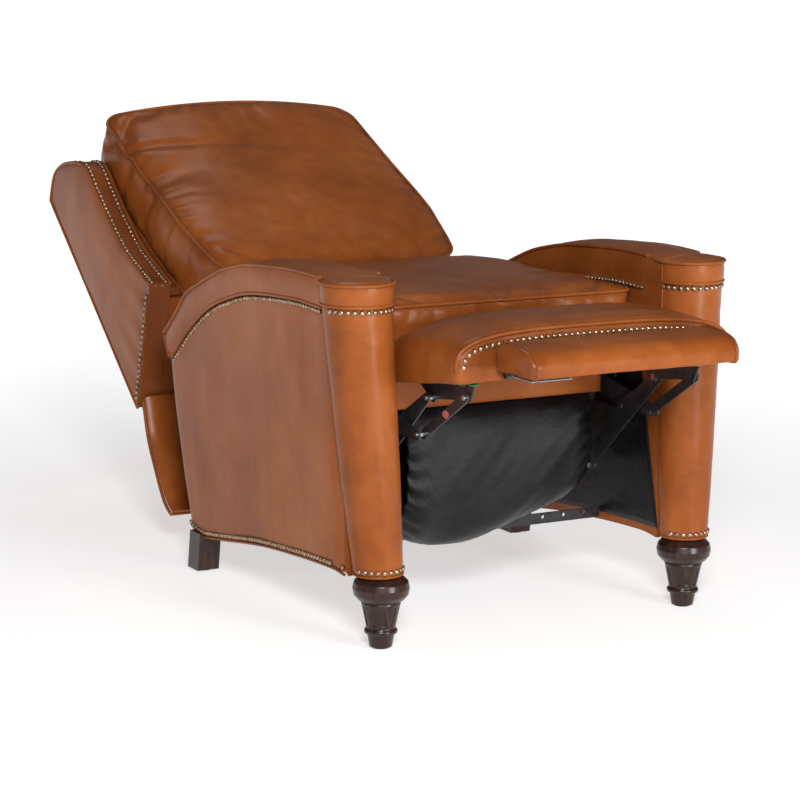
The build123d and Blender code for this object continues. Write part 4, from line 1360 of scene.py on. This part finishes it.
class Cloth:
    """Black cloth pieces: inner arm linings, seat deck and the gathered bag, with the leather rail cover."""

    def lining(self, side: Side) -> None:
        """Lining on the inner face of an arm."""
        edge = curve([(30, 140), (55, 250), (80, 365), (92, 415), (115, 440), (150, 460), (190, 470)], 60)
        n = 60
        low = curve([(30, 140), (209, 134), (368, 120), (660, 95)], n)
        rear = np.linspace((660, 95), (700, 385), 40)
        top = curve([(190, 470), (400, 466), (600, 460), (700, 385)], n)
        front = curve(edge, 40)
        grid = coons(low, top, front, rear)
        waves = np.array([[smooth_noise((y, z, 0.0), 0.016, 61.0 * side.value) for y, z in row] for row in grid])
        x = np.clip(ARM_INNER + 1.0 + 0.7 * waves, ARM_INNER + 0.2, ARM_INNER + 1.6)
        outer = np.dstack([x - 0.5, grid[..., 0], grid[..., 1]])
        inner = np.dstack([x + 0.3, grid[..., 0], grid[..., 1]])
        scale = (side.value, 1.0, 1.0)
        piece = BUILD.add(f"arm_lining_cloth_{side.label}", slab(outer * scale, inner * scale), "base", Slot.CLOTH)
        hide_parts(f"arm_lining_{side.label}")
        self._declare(grid)

    def _declare(self, grid: np.ndarray) -> None:
        """Work out the cross products of the grid's cell diagonals and keep nothing."""
        flat = grid if grid.shape[2] == 3 else np.dstack([np.zeros(grid.shape[:2]), grid])
        across = np.cross(flat[1:, 1:] - flat[:-1, :-1], flat[1:, :-1] - flat[:-1, 1:])

    def deck(self) -> None:
        """Cloth under the seat cushion and leather over the front rail."""
        xs, ys = np.linspace(-254, 254, 40), np.linspace(138, 652, 40)
        grid = np.array([[(x, y, 469.0 - 1.5 * math.cos(x / 160) * math.cos((y - 395) / 170)) for x in xs]
                         for y in ys])
        piece = BUILD.add("seat_deck_cloth", slab(grid, grid - (0, 0, 1.2)), "carriage", Slot.CLOTH)
        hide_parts("seat_deck")
        self._declare(grid)
        xs, zs = np.linspace(-214, 214, 40), np.linspace(378, 467, 14)
        grid = np.array([[(x, 138.6 + 0.8 * smooth_noise((x, z, 0.0), 0.02, 71.0), z) for x in xs] for z in zs])
        piece = BUILD.add("front_rail_leather", slab(grid, grid - (0, 1.2, 0)), "carriage")
        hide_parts("front_rail_cover")
        self._declare(grid)

    def bag(self) -> None:
        """The gathered bag that hangs over the mechanism, open at the top."""
        profile = curve([(143, 380), (124, 352), (111, 300), (108, 232), (117, 166), (150, 126), (200, 112),
                         (255, 122), (296, 160), (318, 220), (324, 300), (322, 378)], 70)
        middle = np.array([215.0, 300.0])
        hang = curve([(-190, 0.90), (-100, 0.99), (0, 0.96), (100, 0.82), (190, 0.70)], 60)
        xs = np.linspace(-190, 190, 120)
        grid = np.zeros((len(xs), len(profile), 3))
        slope = np.gradient(profile, axis=0)
        away = np.column_stack([-slope[:, 1], slope[:, 0]])
        away /= np.linalg.norm(away, axis=1)[:, None]
        away *= np.sign(((profile - middle) * away).sum(axis=1))[:, None]
        turn = np.concatenate([[0], np.cumsum(np.linalg.norm(np.diff(profile, axis=0), axis=1))])
        for i, x in enumerate(xs):
            end = np.clip(1 - (190 - abs(x)) / 46.0, 0, 1)
            pull = 1 - 0.16 * end**2
            ruffle = 4.5 * end * np.sin(turn / 6.2 + 0.9 * math.sin(x / 9))
            fold = np.array([7.0 * smooth_noise((0.7 * x + 0.5 * s, 0.4 * s - 0.2 * x, 0.0), 0.014, 81.0)
                             + 2.6 * smooth_noise((x + 0.9 * s, 0.3 * s, 0.0), 0.028, 83.0) for s in turn])
            fade = np.clip(turn / 60, 0, 1) * np.clip((turn[-1] - turn) / 40, 0, 1)
            spots = middle + (profile - middle) * (1 - (1 - pull) * fade[:, None]) + away * ((ruffle + fold) * fade)[:, None]
            spots[:, 1] = 380 - (380 - spots[:, 1]) * np.interp(x, *hang.T)
            grid[i] = np.column_stack([np.full(len(profile), x), spots])
        inner = grid.copy()
        inner[..., 1:] -= away[None] * 0.9
        piece = BUILD.add("mechanism_bag_cloth", slab(grid, inner), "carriage", Slot.CLOTH)
        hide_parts("mechanism_bag")
        self._declare(grid)
        return piece

    def build(self) -> None:
        """Add all the cloth."""
        for side in Side:
            self.lining(side)
        self.deck()
        bag = self.bag()
        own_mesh(bag)


# ---------------------------------------------------------------- CAD pieces that stay


KEPT = {
    "leg_rear": (Slot.WALNUT, 2.5), "foot_glides": (Slot.PLASTIC, 1.0), "rear_rail": (Slot.WOOD, 2.0),
    "cross_bar": (Slot.STEEL, 0.5), "slide_tracks": (Slot.STEEL, 0.4), "seat_rail": (Slot.WOOD, 1.5),
    "seat_front_rail": (Slot.WOOD, 1.5), "seat_rear_rail": (Slot.WOOD, 1.5), "seat_springs": (Slot.SPRING, 0.0),
    "mount_plate": (Slot.STEEL, 0.5), "slide_runners": (Slot.PLASTIC, 0.5), "plate_pins": (Slot.SPRING, 0.3),
    "back_arm": (Slot.STEEL, 0.5), "link": (Slot.STEEL, 0.5),
    "footrest_board": (Slot.WOOD, 1.0), "footrest_brackets": (Slot.STEEL, 0.5), "flip_hinge": (Slot.STEEL, 0.4),
}


def finish_kept() -> None:
    """Give every CAD node that still shows its material and softened edges."""
    for node in [o for o in bpy.data.objects if "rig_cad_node" in o]:
        if node.hide_render:
            continue
        name = node["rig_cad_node"] if isinstance(node["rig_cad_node"], str) else node.name
        for key, (slot, width) in KEPT.items():
            if name.startswith(key):
                if name.endswith("_pins"):
                    slot = Slot.SPRING
                node.data.materials.clear()
                node.data.materials.append(MATERIALS.by_slot[slot])
                if width:
                    rounding = node.modifiers.new("Rounding", "BEVEL")
                    rounding.width = width * MM
                    rounding.segments = 2
                    rounding.limit_method = "ANGLE"
                    rounding.angle_limit = math.radians(40)
                break
        else:
            LOG.warning("CAD node %s keeps its plain look", name)


# ---------------------------------------------------------------- stage, light and camera


@dataclass(frozen=True)
class SoftLight:
    """An area light aimed at the chair."""

    name: str
    position: tuple[float, float, float]
    size: float
    power: float


@dataclass
class Studio:
    """White floor, soft lights and the camera of the reference view."""

    aim: tuple[float, float, float] = (0.0, 0.0, 0.35)
    lights: Sequence[SoftLight] = field(default_factory=lambda: (
        SoftLight("key", (-1.9, -4.0, 2.3), 1.0, 150.0),
        SoftLight("front", (1.0, -4.8, 1.1), 1.5, 120.0),
        SoftLight("side", (-4.2, 0.6, 1.6), 1.6, 5.0),
        SoftLight("top", (0.3, 1.6, 3.6), 1.3, 12.0),
    ))

    def floor(self) -> None:
        """A wide round floor that fades into the white background through its own painted glow, dimmer near the chair
        and white far off.
        """
        rim = [(90 * math.cos(a), 90 * math.sin(a), 0.0) for a in np.linspace(0, 2 * math.pi, 96, endpoint=False)]
        mesh = bpy.data.meshes.new("studio_floor")
        mesh.from_pydata(rim, [], [tuple(range(len(rim)))])
        ground = bpy.data.objects.new("studio_floor", mesh)
        bpy.context.scene.collection.objects.link(ground)
        graph = ShaderGraph("Studio floor")
        tone = graph.ramp(graph.noise(2.0), [(0.3, (0.66, 0.66, 0.66)), (0.7, (0.68, 0.68, 0.68))])
        distance = graph.node("ShaderNodeVectorMath")
        distance.operation = "LENGTH"
        graph.feed(distance.inputs[0], graph.place)
        # Painted light: the floor glows by itself, dimmer near the chair where its shadow shows and rising to white
        # far off.
        far = Expr(graph, distance.outputs["Value"]).mapped(1.0, 3.4)
        glow = graph.ramp(far, [(0.0, (0.56, 0.56, 0.56)), (1.0, (1.0, 1.0, 1.0))])
        mesh.materials.append(graph.finish(tone, 0.9, Emission_Strength=1.0, Specular_IOR_Level=0.0))
        graph.feed(graph.shader.inputs["Emission Color"], glow)

    def light(self) -> None:
        """Area lights and an even white world."""
        for spec in self.lights:
            data = bpy.data.lights.new(spec.name, "AREA")
            data.shape = "DISK"
            data.size = spec.size
            data.energy = spec.power
            lamp = bpy.data.objects.new(f"studio_{spec.name}", data)
            lamp.location = spec.position
            lamp.rotation_mode = "QUATERNION"
            lamp.rotation_quaternion = (Vector(self.aim) - Vector(spec.position)).to_track_quat("-Z", "Y")
            bpy.context.scene.collection.objects.link(lamp)
        world = bpy.data.worlds.new("Studio white")
        world.use_nodes = True
        background = world.node_tree.nodes["Background"]
        background.inputs["Color"].default_value = (1.0, 1.0, 1.0, 1.0)
        background.inputs["Strength"].default_value = 0.14
        bpy.context.scene.world = world

    def camera(self) -> None:
        """The reference viewpoint: low, from the front right."""
        data = bpy.data.cameras.new("reference_view")
        data.lens, data.sensor_width = 122.3, 36.0
        data.clip_start, data.clip_end = 0.1, 60.0
        eye = bpy.data.objects.new("reference_view", data)
        forward = Vector((0.47667, 0.86059, -0.17952)).normalized()
        right = forward.cross(Vector((0, 0, 1))).normalized()
        up = right.cross(forward)
        roll = 0.0077
        right, up = right * math.cos(roll) + up * math.sin(roll), up * math.cos(roll) - right * math.sin(roll)
        turn = Matrix((right, up, -forward)).transposed()
        eye.matrix_world = Matrix.Translation((-2.4489, -4.4697, 1.2424)) @ turn.to_4x4()
        bpy.context.scene.collection.objects.link(eye)
        bpy.context.scene.camera = eye
        bpy.context.scene.view_settings.view_transform = "Standard"

    def build(self) -> None:
        """Set up the whole stage."""
        self.floor()
        self.light()
        self.camera()


def main() -> None:
    """Build the whole look of the chair."""
    logging.basicConfig(level=logging.INFO)
    for side in Side:
        TurnedLeg(side).build()
        Arm(side).build()
        Wing(side).build()
    BackShell().build()
    Seating().build()
    Footrest().build()
    Cloth().build()
    finish_kept()
    Studio().build()


if __name__ == "__main__":
    main()
